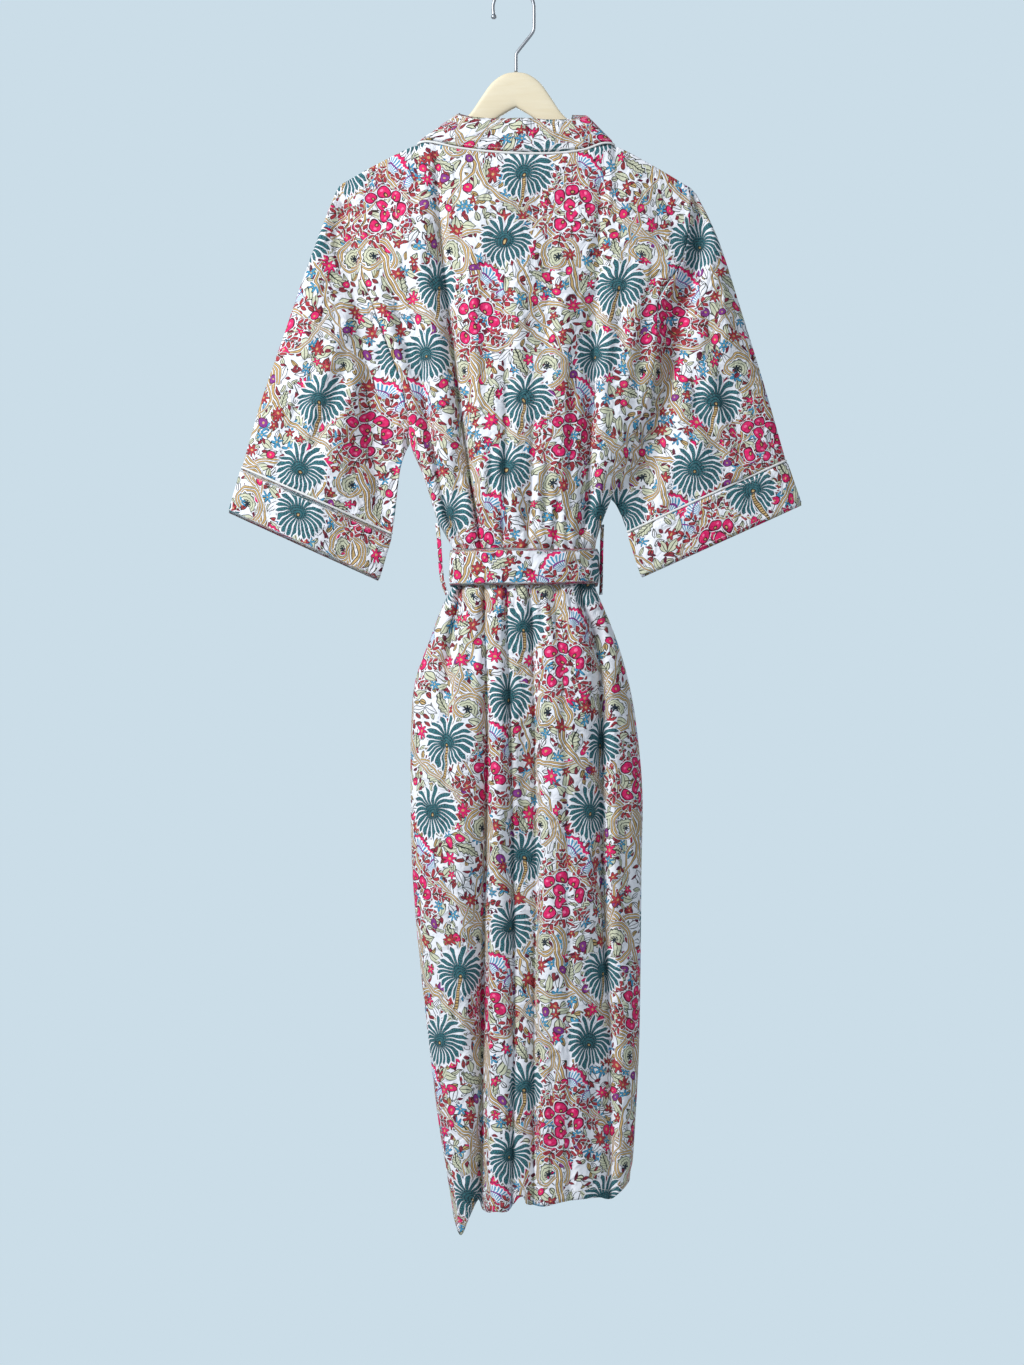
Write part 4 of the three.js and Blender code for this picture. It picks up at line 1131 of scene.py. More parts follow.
    def fans(self) -> None:
        """Prints the striped fans with scalloped pink and purple rims."""
        on, c = self.on, self.colours
        angle, out = self.half_drop(-50.0, -88.0, 38).nearer(
            self.half_drop(-20.0, -104.0, -52)).polar()
        inside = angle.size().under(0.74)
        rim = (angle * 24.0).sine().fma(0.9, 26.0) - out
        on.lay(rim.over(0.0) * angle.size().under(0.8), c.maroon)
        on.stack(rim.over, (0.7, c.pink), (3.9, c.ground), only=inside)
        on.stack(rim.over, (4.7, c.blue), only=inside * (angle * 30.0).sine().over(0.1) * out.over(5.0))
        on.stack((out - 13.0).size().under, (0.9, c.purple), only=inside)
        on.stack(out.under, (4.6, c.rust), only=inside)

    def scatter(self, kind: Scatter) -> None:
        """Prints small scattered leaves or flowers, each turned its own way.

        Args:
            kind: their sizes and inks.
        """
        on = self.on
        scaled = self.place.moved(kind.shift, kind.shift * 0.7).scaled(1 / kind.cell)
        cells = on.node("TexVoronoi", {"Vector": scaled.socket, "Scale": 1.0, "Randomness": 0.8},
                        voronoi_dimensions="2D", feature="F1")
        local = Place(on, scaled.vector("SUBTRACT", Place(on, cells.outputs["Position"])).outputs[0])
        chance = [Ink(on, socket) for socket in on.node("SeparateColor", {0: cells.outputs["Color"]}).outputs]
        fills = on.node("ValToRGB", {0: chance[1].socket})
        fills.color_ramp.interpolation = "CONSTANT"
        stops = fills.color_ramp.elements
        for i, ink in enumerate(kind.inks):
            stop = stops[i] if i < len(stops) else stops.new(i / len(kind.inks))
            stop.position = i / len(kind.inks)
            stop.color = ink
        angle, out = local.polar()
        angle = angle + chance[0] * 6.283
        out = out * kind.cell
        if kind.petals:
            shape = (angle * kind.petals).sine().fma(kind.wide, kind.long) - out
            fill = shape.over(1.0)
        else:
            along = out * angle.math("COSINE") * (1 / kind.long)
            side = (out * angle.sine()).size()
            shape = (along * along) * -kind.wide + kind.wide - side
            fill = shape.over(0.85) * side.over(0.4)
        used = chance[2].under(kind.share)
        on.lay(shape.over(0.0) * used, kind.outline)
        on.lay(fill * used, fills.outputs[0])
        if kind.petals:
            on.lay(out.under(kind.long * 0.22) * used, self.colours.tan)

    def pattern(self) -> None:
        """Prints the whole pattern, layer over layer."""
        c = self.colours
        layers = (
            Scatter(10.6, 3.0, 6.2, 2.8, 0, 0.86, c.olive, (c.sage, c.tan, c.ground, c.rust, c.sage)),
            Scatter(20.0, 71.0, 11.0, 4.8, 0, 0.88, c.olive, (c.sage, c.ground, c.sage)),
            Scatter(19.0, 9.0, 5.2, 2.6, 6, 0.34, c.slate, (c.blue, c.blue)),
            Scatter(13.0, 87.0, 4.6, 2.0, 0, 0.5, c.maroon, (c.rust, c.maroon, c.rust)),
            self.boughs,
            Scatter(19.0, 23.0, 4.8, 1.8, 5, 0.3, c.wine, (c.rust, c.pink, c.rust)),
            self.vines,
            Scatter(26.0, 51.0, 5.4, 0.5, 2, 0.34, c.maroon, (c.pink, c.pink, c.purple)),
            Scatter(47.0, 37.0, 6.8, 2.3, 7, 0.7, c.wine, (c.rust, c.pink, c.rust)),
            self.scrolls, self.fans, self.berries, self.palms,
        )
        for layer in layers:
            if isinstance(layer, Scatter):
                self.scatter(layer)
            else:
                layer()

    def material(self) -> bpy.types.Material:
        """Builds the printed cotton.

        Returns:
            The material.
        """
        on = self.on = Printing(self.name, self.colours.ground)
        flat = Place(on, on.node("UVMap", uv_map="cloth").outputs[0]).scaled(1 / MM)
        cloud = on.node("TexNoise", {"Vector": flat.socket, "Scale": 0.045, "Detail": 1.0},
                        noise_dimensions="2D")
        pull = Place(on, cloud.outputs["Color"]).vector("MULTIPLY_ADD", (self.drift, self.drift, 0.0),
                                                        (-self.drift / 2, -self.drift / 2, 0.0))
        self.place = Place(on, Place(on, pull.outputs[0]).vector("ADD", flat).outputs[0])
        self.pattern()
        on.lay(Ink(on, on.noise(flat.socket, 0.35, 2.0, dimensions="2D")).fma(0.16, -0.05), self.colours.worn)
        weave = on.bump(on.noise(flat.socket, 1.6, 2.0, dimensions="2D"), 0.25, 0.0002)
        crumple = on.bump(on.noise(flat.socket, 0.055, 3.0, 0.6, "2D"), 0.8, 0.006, weave)
        on.fill(on.shader, {"Base Color": on.colour, "Roughness": 0.88, "Specular IOR Level": 0.14,
                            "Sheen Weight": 0.03, "Sheen Roughness": 0.5, "Normal": crumple})
        return on.material


@dataclass(frozen=True)
class WhiteCotton:
    """The white bias cotton of the piping."""

    name: str = "white piping cotton"
    colour: tuple = srgb(245, 245, 243)
    shade: tuple = srgb(226, 226, 224)

    def material(self) -> bpy.types.Material:
        """Builds the white cotton with its slanted weave.

        Returns:
            The material.
        """
        made = Finish(self.name)
        where = made.node("TexCoord").outputs["Object"]
        tint = made.blend(made.noise(where, 90.0, 3.0), self.colour, self.shade)
        twill = made.node("TexWave", {"Vector": where, "Scale": 700.0}, bands_direction="DIAGONAL")
        made.fill(made.shader, {"Base Color": tint, "Roughness": 0.8, "Sheen Weight": 0.1,
                                "Normal": made.bump(twill.outputs[1], 0.4, 0.0002)})
        return made.material


@dataclass(frozen=True)
class CreamWood:
    """The hanger's smooth cream wood with a faint grain under a satin coat."""

    name: str = "cream hanger wood"
    light: tuple = srgb(238, 226, 198)
    dark: tuple = srgb(234, 220, 189)

    def material(self) -> bpy.types.Material:
        """Builds the wood; its grain runs along the bar.

        Returns:
            The material.
        """
        made = Finish(self.name)
        where = made.node("TexCoord").outputs["Object"]
        stretch = made.node("Mapping", {"Vector": where, "Scale": (6.0, 60.0, 60.0)})
        grain = made.noise(stretch.outputs[0], 2.2, 6.0, 1.2)
        tint = made.node("ValToRGB", {0: grain})
        for stop, position, colour in zip(tint.color_ramp.elements, (0.36, 0.62), (self.dark, self.light)):
            stop.position = position
            stop.color = colour
        rough = made.node("MapRange", {"Value": grain, "To Min": 0.32, "To Max": 0.5})
        made.fill(made.shader, {"Base Color": tint.outputs[0], "Roughness": rough.outputs[0],
                                "Coat Weight": 0.25, "Coat Roughness": 0.2,
                                "Normal": made.bump(grain, 0.15, 0.0004)})
        return made.material


@dataclass(frozen=True)
class HookSteel:
    """The hook's drawn steel wire with light scuffs."""

    name: str = "hook steel"
    colour: tuple = srgb(168, 172, 178)

    def material(self) -> bpy.types.Material:
        """Builds the steel.

        Returns:
            The material.
        """
        made = Finish(self.name)
        scuff = made.noise(made.node("TexCoord").outputs["Object"], 160.0, 4.0)
        rough = made.node("MapRange", {"Value": scuff, "To Min": 0.34, "To Max": 0.5})
        made.fill(made.shader, {"Base Color": self.colour, "Metallic": 1.0, "Roughness": rough.outputs[0]})
        return made.material


@dataclass(frozen=True)
class PlainFinish:
    """A plain matte finish with a faint cloud, for the floor and the sewing thread."""

    name: str
    colour: tuple
    roughness: float = 0.8
    scale: float = 3.0

    def material(self) -> bpy.types.Material:
        """Builds the finish.

        Returns:
            The material.
        """
        made = Finish(self.name)
        cloud = made.noise(made.node("TexCoord").outputs["Object"], self.scale)
        darker = (*(0.93 * v for v in self.colour[:3]), 1.0)
        tint = made.blend(cloud, self.colour, darker)
        made.fill(made.shader, {"Base Color": tint, "Roughness": self.roughness})
        return made.material


class Finishes:
    """The materials of the robe and its hanger, each built once."""

    def __init__(self) -> None:
        """Builds every material."""
        self.cotton = BlockPrint().material()
        self.piping = WhiteCotton().material()
        self.wood = CreamWood().material()
        self.steel = HookSteel().material()
        self.thread = PlainFinish("sewing thread", srgb(236, 234, 228), 0.7, 400.0).material()
        self.floor = PlainFinish("studio floor", srgb(224, 228, 232), 0.85, 1.5).material()


def hand_over(obj: bpy.types.Object, material: bpy.types.Material, slot: str, *nodes: str) -> None:
    """Finishes a piece: its material, the body it rides on and the solids it stands for.

    Args:
        obj: the piece.
        material: its material.
        slot: the record's material slot; not used.
        nodes: the solids that it replaces.
    """
    obj.data.materials.clear()
    obj.data.materials.append(material)
    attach(obj, "root")
    if nodes:
        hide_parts(*nodes)
    LOG.info("%s: %d faces", obj.name, len(obj.data.polygons))


# The robe's pieces

@dataclass
class Panels:
    """The back and the two fronts."""

    form: BodyForm
    finishes: Finishes
    rows: int = 236
    front_columns: int = 66

    def drops(self) -> np.ndarray:
        """Returns the distances down the cloth of the mesh rows, closer at the shoulder and belt."""
        top = (0, 2, 4.5, 7, 9.5, 12.5, 16, 21, 27)
        return np.concatenate([top, np.linspace(33, LENGTH, self.rows - len(top))])

    def back(self) -> bpy.types.Object:
        """Builds the back, its columns standing on the crease bottoms."""
        grid, flat = [], []
        for drop in self.drops():
            row = self.form.section(float(drop))
            cuts = [row.x_left, *[float(c.place(row.z)) for c in BACK_CREASES], row.x_right]
            counts = [*[c.columns for c in BACK_CREASES], LAST_COLUMNS]
            parts = []
            for i, count in enumerate(counts):
                fine = self.form.back_points(row, cos_line(cuts[i], cuts[i + 1]))
                part = spread_evenly(fine, count)
                parts.append(part if i == 0 else part[1:])
            line = np.concatenate(parts)
            run = run_along(line)
            centre = np.interp(8.0, line[:, 0], run)
            grid.append(line)
            flat.append(np.stack([run - centre, line[:, 2]], axis=1))
        return self.finish_panel("back", np.array(grid), np.array(flat), False)

    def front(self, hand: Hand) -> bpy.types.Object:
        """Builds one front, from its side seam to the band."""
        side = hand.value
        grid, flat = [], []
        for drop in self.drops():
            row = self.form.section(float(drop))
            start = row.x_left if hand is Hand.LEFT else row.x_right
            seam = self.form.front_seam(row, hand) + side * 0.9
            line = spread_evenly(self.form.front_points(row, cos_line(start, seam), hand), self.front_columns)
            run = run_along(line)
            grid.append(line)
            flat.append(np.stack([(run - run[-1]) + 37.0 * side, line[:, 2] + 90.0], axis=1))
        name = "left_front" if hand is Hand.LEFT else "right_front"
        return self.finish_panel(name, np.array(grid), np.array(flat), hand is Hand.LEFT)

    def finish_panel(self, name: str, grid: np.ndarray, flat: np.ndarray, flip: bool) -> bpy.types.Object:
        """Makes a panel's mesh and hands it over."""
        rows, cols = grid.shape[:2]
        obj = mesh_object(name + "_cloth", grid.reshape(-1, 3), grid_faces(rows, cols, False, flip),
                          flat.reshape(-1, 2))
        thin_shell(obj, CLOTH_WALL)
        hand_over(obj, self.finishes.cotton, "print_cotton", name)
        return obj

    def build(self) -> None:
        """Builds the three panels."""
        back = self.back()
        for hand in Hand:
            front = self.front(hand)


class SleeveRow(NamedTuple):
    """One ring of a sleeve: its outer and inner folds, half depth and share of the armhole's bow."""

    t: float
    out_x: float
    out_z: float
    in_x: float
    in_z: float
    deep: float
    bow: float


class SleeveFold(NamedTuple):
    """A trough along a sleeve: its share across, depth, half width, start, end and slant."""

    at: float
    depth: float
    wide: float
    start: float
    end: float
    lean: float


SLEEVE_ROWS = {
    Hand.LEFT: tuple(SleeveRow(*row) for row in (
        (0, -210.2, -236, -127.2, -545, 34, 1),
        (0.08, -217, -247, -133, -556, 34, 0.85),
        (0.28, -247, -325, -139, -575, 33, 0.5),
        (0.55, -280, -421, -143, -605, 29, 0.2),
        (0.8, -306, -497, -146, -632, 25, 0.05),
        (1, -328, -573, -149, -652, 19, 0),
        (2, -344, -629, -166, -710, 15, 0),
    )),
    Hand.RIGHT: tuple(SleeveRow(*row) for row in (
        (0, 209.2, -240, 114.2, -612, 34, 1),
        (0.08, 218, -250, 119, -617, 34, 0.85),
        (0.28, 243, -303, 124, -626, 33, 0.5),
        (0.55, 271, -390, 128, -635, 29, 0.2),
        (0.8, 299, -481, 131, -643, 25, 0.05),
        (1, 323, -565, 134, -650, 19, 0),
        (2, 342, -620, 152, -706, 15, 0),
    )),
}
SLEEVE_FOLDS = {
    Hand.LEFT: tuple(SleeveFold(*row) for row in (
        (0.72, 6.0, 0.11, -0.35, 1.25, 0.06), (0.44, 5.0, 0.05, 0.05, 0.95, -0.12),
        (0.26, 3.4, 0.045, 0.3, 1.05, -0.05), (0.86, 5.0, 0.04, 0.0, 0.9, 0.0),
        (0.54, -3.4, 0.06, 0.0, 1.1, 0.0), (0.35, -2.4, 0.05, 0.1, 1.0, -0.08),
    )),
    Hand.RIGHT: tuple(SleeveFold(*row) for row in (
        (0.68, 6.0, 0.11, -0.35, 1.25, 0.02), (0.40, 5.4, 0.045, 0.0, 0.95, -0.1),
        (0.82, 5.0, 0.045, 0.0, 0.95, 0.02), (0.24, 3.6, 0.045, 0.3, 1.05, 0.0),
        (0.51, -3.4, 0.06, 0.0, 1.0, -0.02), (0.32, -2.4, 0.05, 0.1, 1.0, -0.06),
    )),
}
SLEEVE_VALLEYS = {
    Hand.LEFT: (Wrinkle(-204, -215, -128, -700, 30, 12), Wrinkle(-222, -330, -190, -590, 4, 8)),
    Hand.RIGHT: (Wrinkle(236, -215, 140, -690, 27, 11), Wrinkle(246, -340, 196, -600, 4, 8)),
}


@dataclass
class Sleeve:
    """One sleeve with its cuff band and the white cord between them."""

    hand: Hand
    form: BodyForm
    finishes: Finishes
    rows: int = 96
    half_columns: int = 58
    cuff_rows: int = 15
    cuff_gap: float = 0.045
    cuff_height: float = 60.0
    front_place: tuple = (170.0, 40.0)
    tracks: dict = field(init=False)
    seam: np.ndarray = field(init=False)

    def __post_init__(self) -> None:
        """Makes a track for each column of the sleeve's table, and follows the armhole."""
        columns = dict(zip(SleeveRow._fields, zip(*SLEEVE_ROWS[self.hand][:-1])))
        keys = columns.pop("t")
        self.tracks = {name: Track(keys, column) for name, column in columns.items()}
        self.seam = self.armhole(cos_shares(self.half_columns))

    def armhole(self, f: np.ndarray) -> np.ndarray:
        """Returns the body's edge at shares f from the shoulder to the armpit."""
        left = self.hand is Hand.LEFT
        places = []
        for share in f:
            row = self.form.section(ARMPIT_DROP * float(share))
            x, z = (row.x_left, row.z_left) if left else (row.x_right, row.z_right)
            places.append([x, row.dip(), z])
        return np.array(places)

    def ring(self, t: float, out: float = 0.0) -> tuple:
        """Returns one ring of the sleeve or cuff.

        Args:
            t: the share of the sleeve's length; past 1 it is in the cuff.
            out: how far outside the cloth's middle the ring lies.

        Returns:
            The ring's points, and their flat places on the cloth.
        """
        if t <= 1:
            size = {name: float(track(t)) for name, track in self.tracks.items()}
        else:
            end_row, cuff_row = SLEEVE_ROWS[self.hand][-2:]
            size = {name: mix(getattr(end_row, name), getattr(cuff_row, name), t - 1) for name in self.tracks}
        size["bow"] = max(0.0, size["bow"])
        f = cos_shares(self.half_columns)
        seam = self.seam
        bow = seam[:, [0, 2]] - mix(seam[0][[0, 2]], seam[-1][[0, 2]], f[:, None])
        arch = np.sin(math.pi * np.clip(f, 0.0005, 0.9995)) ** 0.62
        free = 0.6 + (size["deep"] + out) * arch
        depth = mix(free, seam[:, 1], size["bow"])
        start = np.array([size["out_x"], size["out_z"]])
        end = np.array([size["in_x"], size["in_z"]])
        way = (end - start) / np.linalg.norm(end - start)
        plane = mix(start - way * out, end + way * out, f[:, None]) + bow * size["bow"]
        plane[:, 0] -= self.hand.value * max(0.0, -t) * 400
        inside = min(t, 1)
        rim = ease(arch / 0.6)
        quiet = float(ease(t / 0.12)) * float(ease((1.02 - t) / 0.15)) if t < 1.02 else 0.0
        halves = []
        for side in Side:
            on_back = side is Side.BACK
            hollow = np.zeros_like(f)
            for fold in SLEEVE_FOLDS[self.hand]:
                fade = math.sin(math.pi * min(1, max(0, (inside - fold.start) / (fold.end - fold.start))))
                fade = fade ** 0.7 * (1.0 if on_back else 0.55) * float(ease(t / 0.16))
                centre = fold.at + (0.0 if on_back else 0.07) + fold.lean * (inside - 0.5)
                hollow += fold.depth * fade * np.exp(-((f - centre) / fold.wide) ** 2)
            for valley in SLEEVE_VALLEYS[self.hand]:
                hollow += (1.0 if on_back else 0.5) * float(ease(t / 0.05)) * valley.relief(
                    plane[:, 0], plane[:, 1], -1.0, 2.6)
            waves = self.form.undulation(plane[:, 0], plane[:, 1], side)
            hollow += 0.8 * quiet * rim * waves
            hollow += 0.35 * (1 - quiet) * rim * waves * (t > 1)
            y = side.value * np.maximum(0.3, depth - hollow * rim + min(0.0, t) * 120)
            halves.append(np.stack([plane[:, 0], y, plane[:, 1]], axis=1))
        back, front = halves[0], halves[1][::-1]
        outer = (back[0] + front[-1]) / 2
        inner = (back[-1] + front[0]) / 2
        ring = np.concatenate([[outer], back[1:-1], [inner], front[1:-1]])
        return ring, self.flat_place(ring)

    def flat_place(self, ring: np.ndarray) -> np.ndarray:
        """Returns where the ring's points lie on the flat cloth, upright as the robe hangs."""
        half = self.half_columns
        run = run_along(np.concatenate([ring, ring[:1]]))
        start, end = ring[0][[0, 2]], ring[half][[0, 2]]
        way = (end - start) / np.linalg.norm(end - start)
        middle = (start + end) / 2
        flat = np.empty((len(ring), 2))
        back = run[:half + 1] - run[half] / 2
        flat[:half + 1] = middle + back[:, None] * way
        front = (run[half:-1] - run[half]) - (run[-1] - run[half]) / 2
        flat[half:] = middle - front[:, None] * way + np.array(self.front_place)
        flat[half] = middle + back[-1] * way
        return flat

    def build(self) -> None:
        """Builds the sleeve, the cuff and the piping."""
        name = "left" if self.hand is Hand.LEFT else "right"
        steps = np.concatenate([[-0.008, 0.0, 0.008, 0.02], np.linspace(0.036, 1.0, self.rows - 4)])
        grid, flat = (np.array(part) for part in zip(*(self.ring(float(t)) for t in steps)))
        flip = self.hand is Hand.RIGHT
        sleeve = mesh_object(name + "_sleeve_cloth", grid.reshape(-1, 3),
                             grid_faces(len(steps), grid.shape[1], True, not flip), flat.reshape(-1, 2))
        self.mend_fold(sleeve, grid.shape[1])
        thin_shell(sleeve, CLOTH_WALL)
        hand_over(sleeve, self.finishes.cotton, "print_cotton", name + "_sleeve")
        cuff = self.cuff(name, flip)
        hand_over(cuff, self.finishes.cotton, "print_cotton", name + "_cuff")
        ring, _ = self.ring(1.022, 0.4)
        cord = round_cord(name + "_cuff_cord", ring[::2], CORD_RADIUS, CORD_SIDES, True)
        hand_over(cord, self.finishes.piping, "piping_cotton", name + "_cuff_piping")

    def cuff(self, name: str, flip: bool) -> bpy.types.Object:
        """Builds the turned-up cuff band; its print runs along the band."""
        steps = np.linspace(1 + self.cuff_gap, 2.0, self.cuff_rows)
        lines, flats = [], []
        for t in steps:
            ring, _ = self.ring(float(t), 0.5)
            run = run_along(np.concatenate([ring, ring[:1]]))[:-1]
            lines.append(ring)
            flats.append(np.stack([run, np.full(len(ring), -(t - 1) * self.cuff_height)], axis=1))
        grid = np.swapaxes(np.array(lines), 0, 1)
        flat = np.swapaxes(np.array(flats), 0, 1) + np.array([-52.0 if flip else 10.0, 66.0])
        return folded_strip(name + "_cuff_band", grid, BAND_THICKNESS, flat, True, flip)

    def mend_fold(self, obj: bpy.types.Object, cols: int) -> None:
        """Keeps the print from smearing where the flat places jump at the sleeve's two folds."""
        layer = obj.data.uv_layers["cloth"]
        half = self.half_columns
        for face in obj.data.polygons:
            places = {i: divmod(obj.data.loops[i].vertex_index, cols) for i in face.loop_indices}
            columns = [column for _, column in places.values()]
            if min(columns) < half and not (0 in columns and max(columns) > half):
                continue
            for i, (row, column) in places.items():
                if column in (0, half):
                    mates = [j for j, (r, c) in places.items() if r == row and c not in (0, half)]
                    if mates:
                        layer.data[i].uv = layer.data[mates[0]].uv


@dataclass
class CollarBand:
    """The long band round the neck and down both front edges, with its white cord."""

    form: BodyForm
    finishes: Finishes
    neck_steps: int = 72
    front_steps: int = 150
    cord_steps: int = 110
    across: int = 13
    neck_width: float = 50.0
    print_start: float = 190.0

    def drops(self, steps: int) -> np.ndarray:
        """Returns the distances down the fronts of the band's stations, closer at the neck."""
        return np.concatenate([[8, 12, 16, 22], np.linspace(30, LENGTH, steps)])

    def front_station(self, drop: float, hand: Hand) -> np.ndarray:
        """Returns the points across the band on one front."""
        side = hand.value
        row = self.form.section(drop)
        seam = self.form.front_seam(row, hand) - side * (PIPING + 0.3)
        rise = float(1 - ease((drop - 4) / 150))
        wide = mix(BAND_WIDTH, self.neck_width, rise)
        g = shares(self.across)
        x = seam - side * (wide - PIPING) * g
        flat = self.form.front_points(row, np.clip(x, row.x_left, row.x_right), hand)
        lift = 2.9 * float(np.interp(drop, [0, 8, 16, 60], [1, 1, 0.25, 0]))
        y = flat[:, 1] + rise * (1 + g * 4.5)
        return np.stack([x, y, flat[:, 2] + lift + rise * 38 * g], axis=1)

    def neck_station(self, f: float) -> np.ndarray:
        """Returns the points across the band round the neck; f runs from left to right."""
        turn = math.pi * f
        cos = math.cos(turn)
        depth = max(0.0, math.sin(turn)) ** 0.5
        g = shares(self.across)
        base_x = -(NECK_X + 0.5) * cos
        top_x = mix(-67.0, 84.0, (1 - cos) / 2)
        base_z = float(self.form.seam_height(base_x)) + PIPING + 0.5 + 1.4 * (1 - depth)
        top_z = mix(-148.0, -151.0, (1 - cos) / 2) - 9 * depth
        wave = 1.4 * math.sin(9.0 * turn) * math.sin(turn)
        bulge = 2.2 * np.sin(math.pi * g) * depth
        y = -mix(17.6, 15.0, g) * depth + 3 * (1 - depth) * g - wave * g ** 2 - bulge
        z = mix(base_z, top_z + 0.8 * math.sin(5.0 * turn), g)
        return np.stack([mix(base_x, top_x, g), y, z], axis=1)

    def stations(self) -> np.ndarray:
        """Returns every station, from the left hem over the neck to the right hem."""
        drops = self.drops(self.front_steps - 4)
        left = [self.front_station(float(d), Hand.LEFT) for d in drops[::-1]]
        neck = [self.neck_station(i / self.neck_steps) for i in range(self.neck_steps + 1)]
        right = [self.front_station(float(d), Hand.RIGHT) for d in drops]
        return np.array(left + neck + right)

    def seam_line(self) -> np.ndarray:
        """Returns the line of the white cord."""
        drops = self.drops(self.cord_steps)

        def on_front(drop: float, hand: Hand) -> np.ndarray:
            """Returns the cord's place on one front."""
            row = self.form.section(drop)
            seam = np.array([self.form.front_seam(row, hand)])
            point = self.form.front_points(row, seam, hand)[0]
            lift = float(np.interp(drop, [0, 8, 16, 60], [1.3, 1.3, 0.3, 0]))
            return point + np.array([0.0, 0.4, lift])

        line = [on_front(float(d), Hand.LEFT) for d in drops[::-1]]
        for i in range(self.neck_steps + 1):
            turn = math.pi * i / self.neck_steps
            depth = max(0.0, math.sin(turn)) ** 0.5
            x = -(NECK_X + 1.5) * math.cos(turn)
            z = float(self.form.seam_height(x)) + 0.3 + 1.1 * (1 - depth)
            line.append(np.array([x, -17.4 * depth - 0.8, z]))
        line += [on_front(float(d), Hand.RIGHT) for d in drops]
        return np.array(line)

    def build(self) -> None:
        """Builds the band and its cord."""
        grid = self.stations()
        run = run_along(grid[:, self.across // 2])
        g = shares(self.across)
        flat = strip_places(run - run[-1] / 2 + self.print_start, g * BAND_WIDTH - 18.0)
        band = folded_strip("collar_band_cloth", grid, BAND_THICKNESS, flat, False, True)
        hand_over(band, self.finishes.cotton, "print_cotton", "collar_band")
        cord = round_cord("collar_cord", self.seam_line(), CORD_RADIUS, CORD_SIDES, False)
        hand_over(cord, self.finishes.piping, "piping_cotton", "collar_piping")


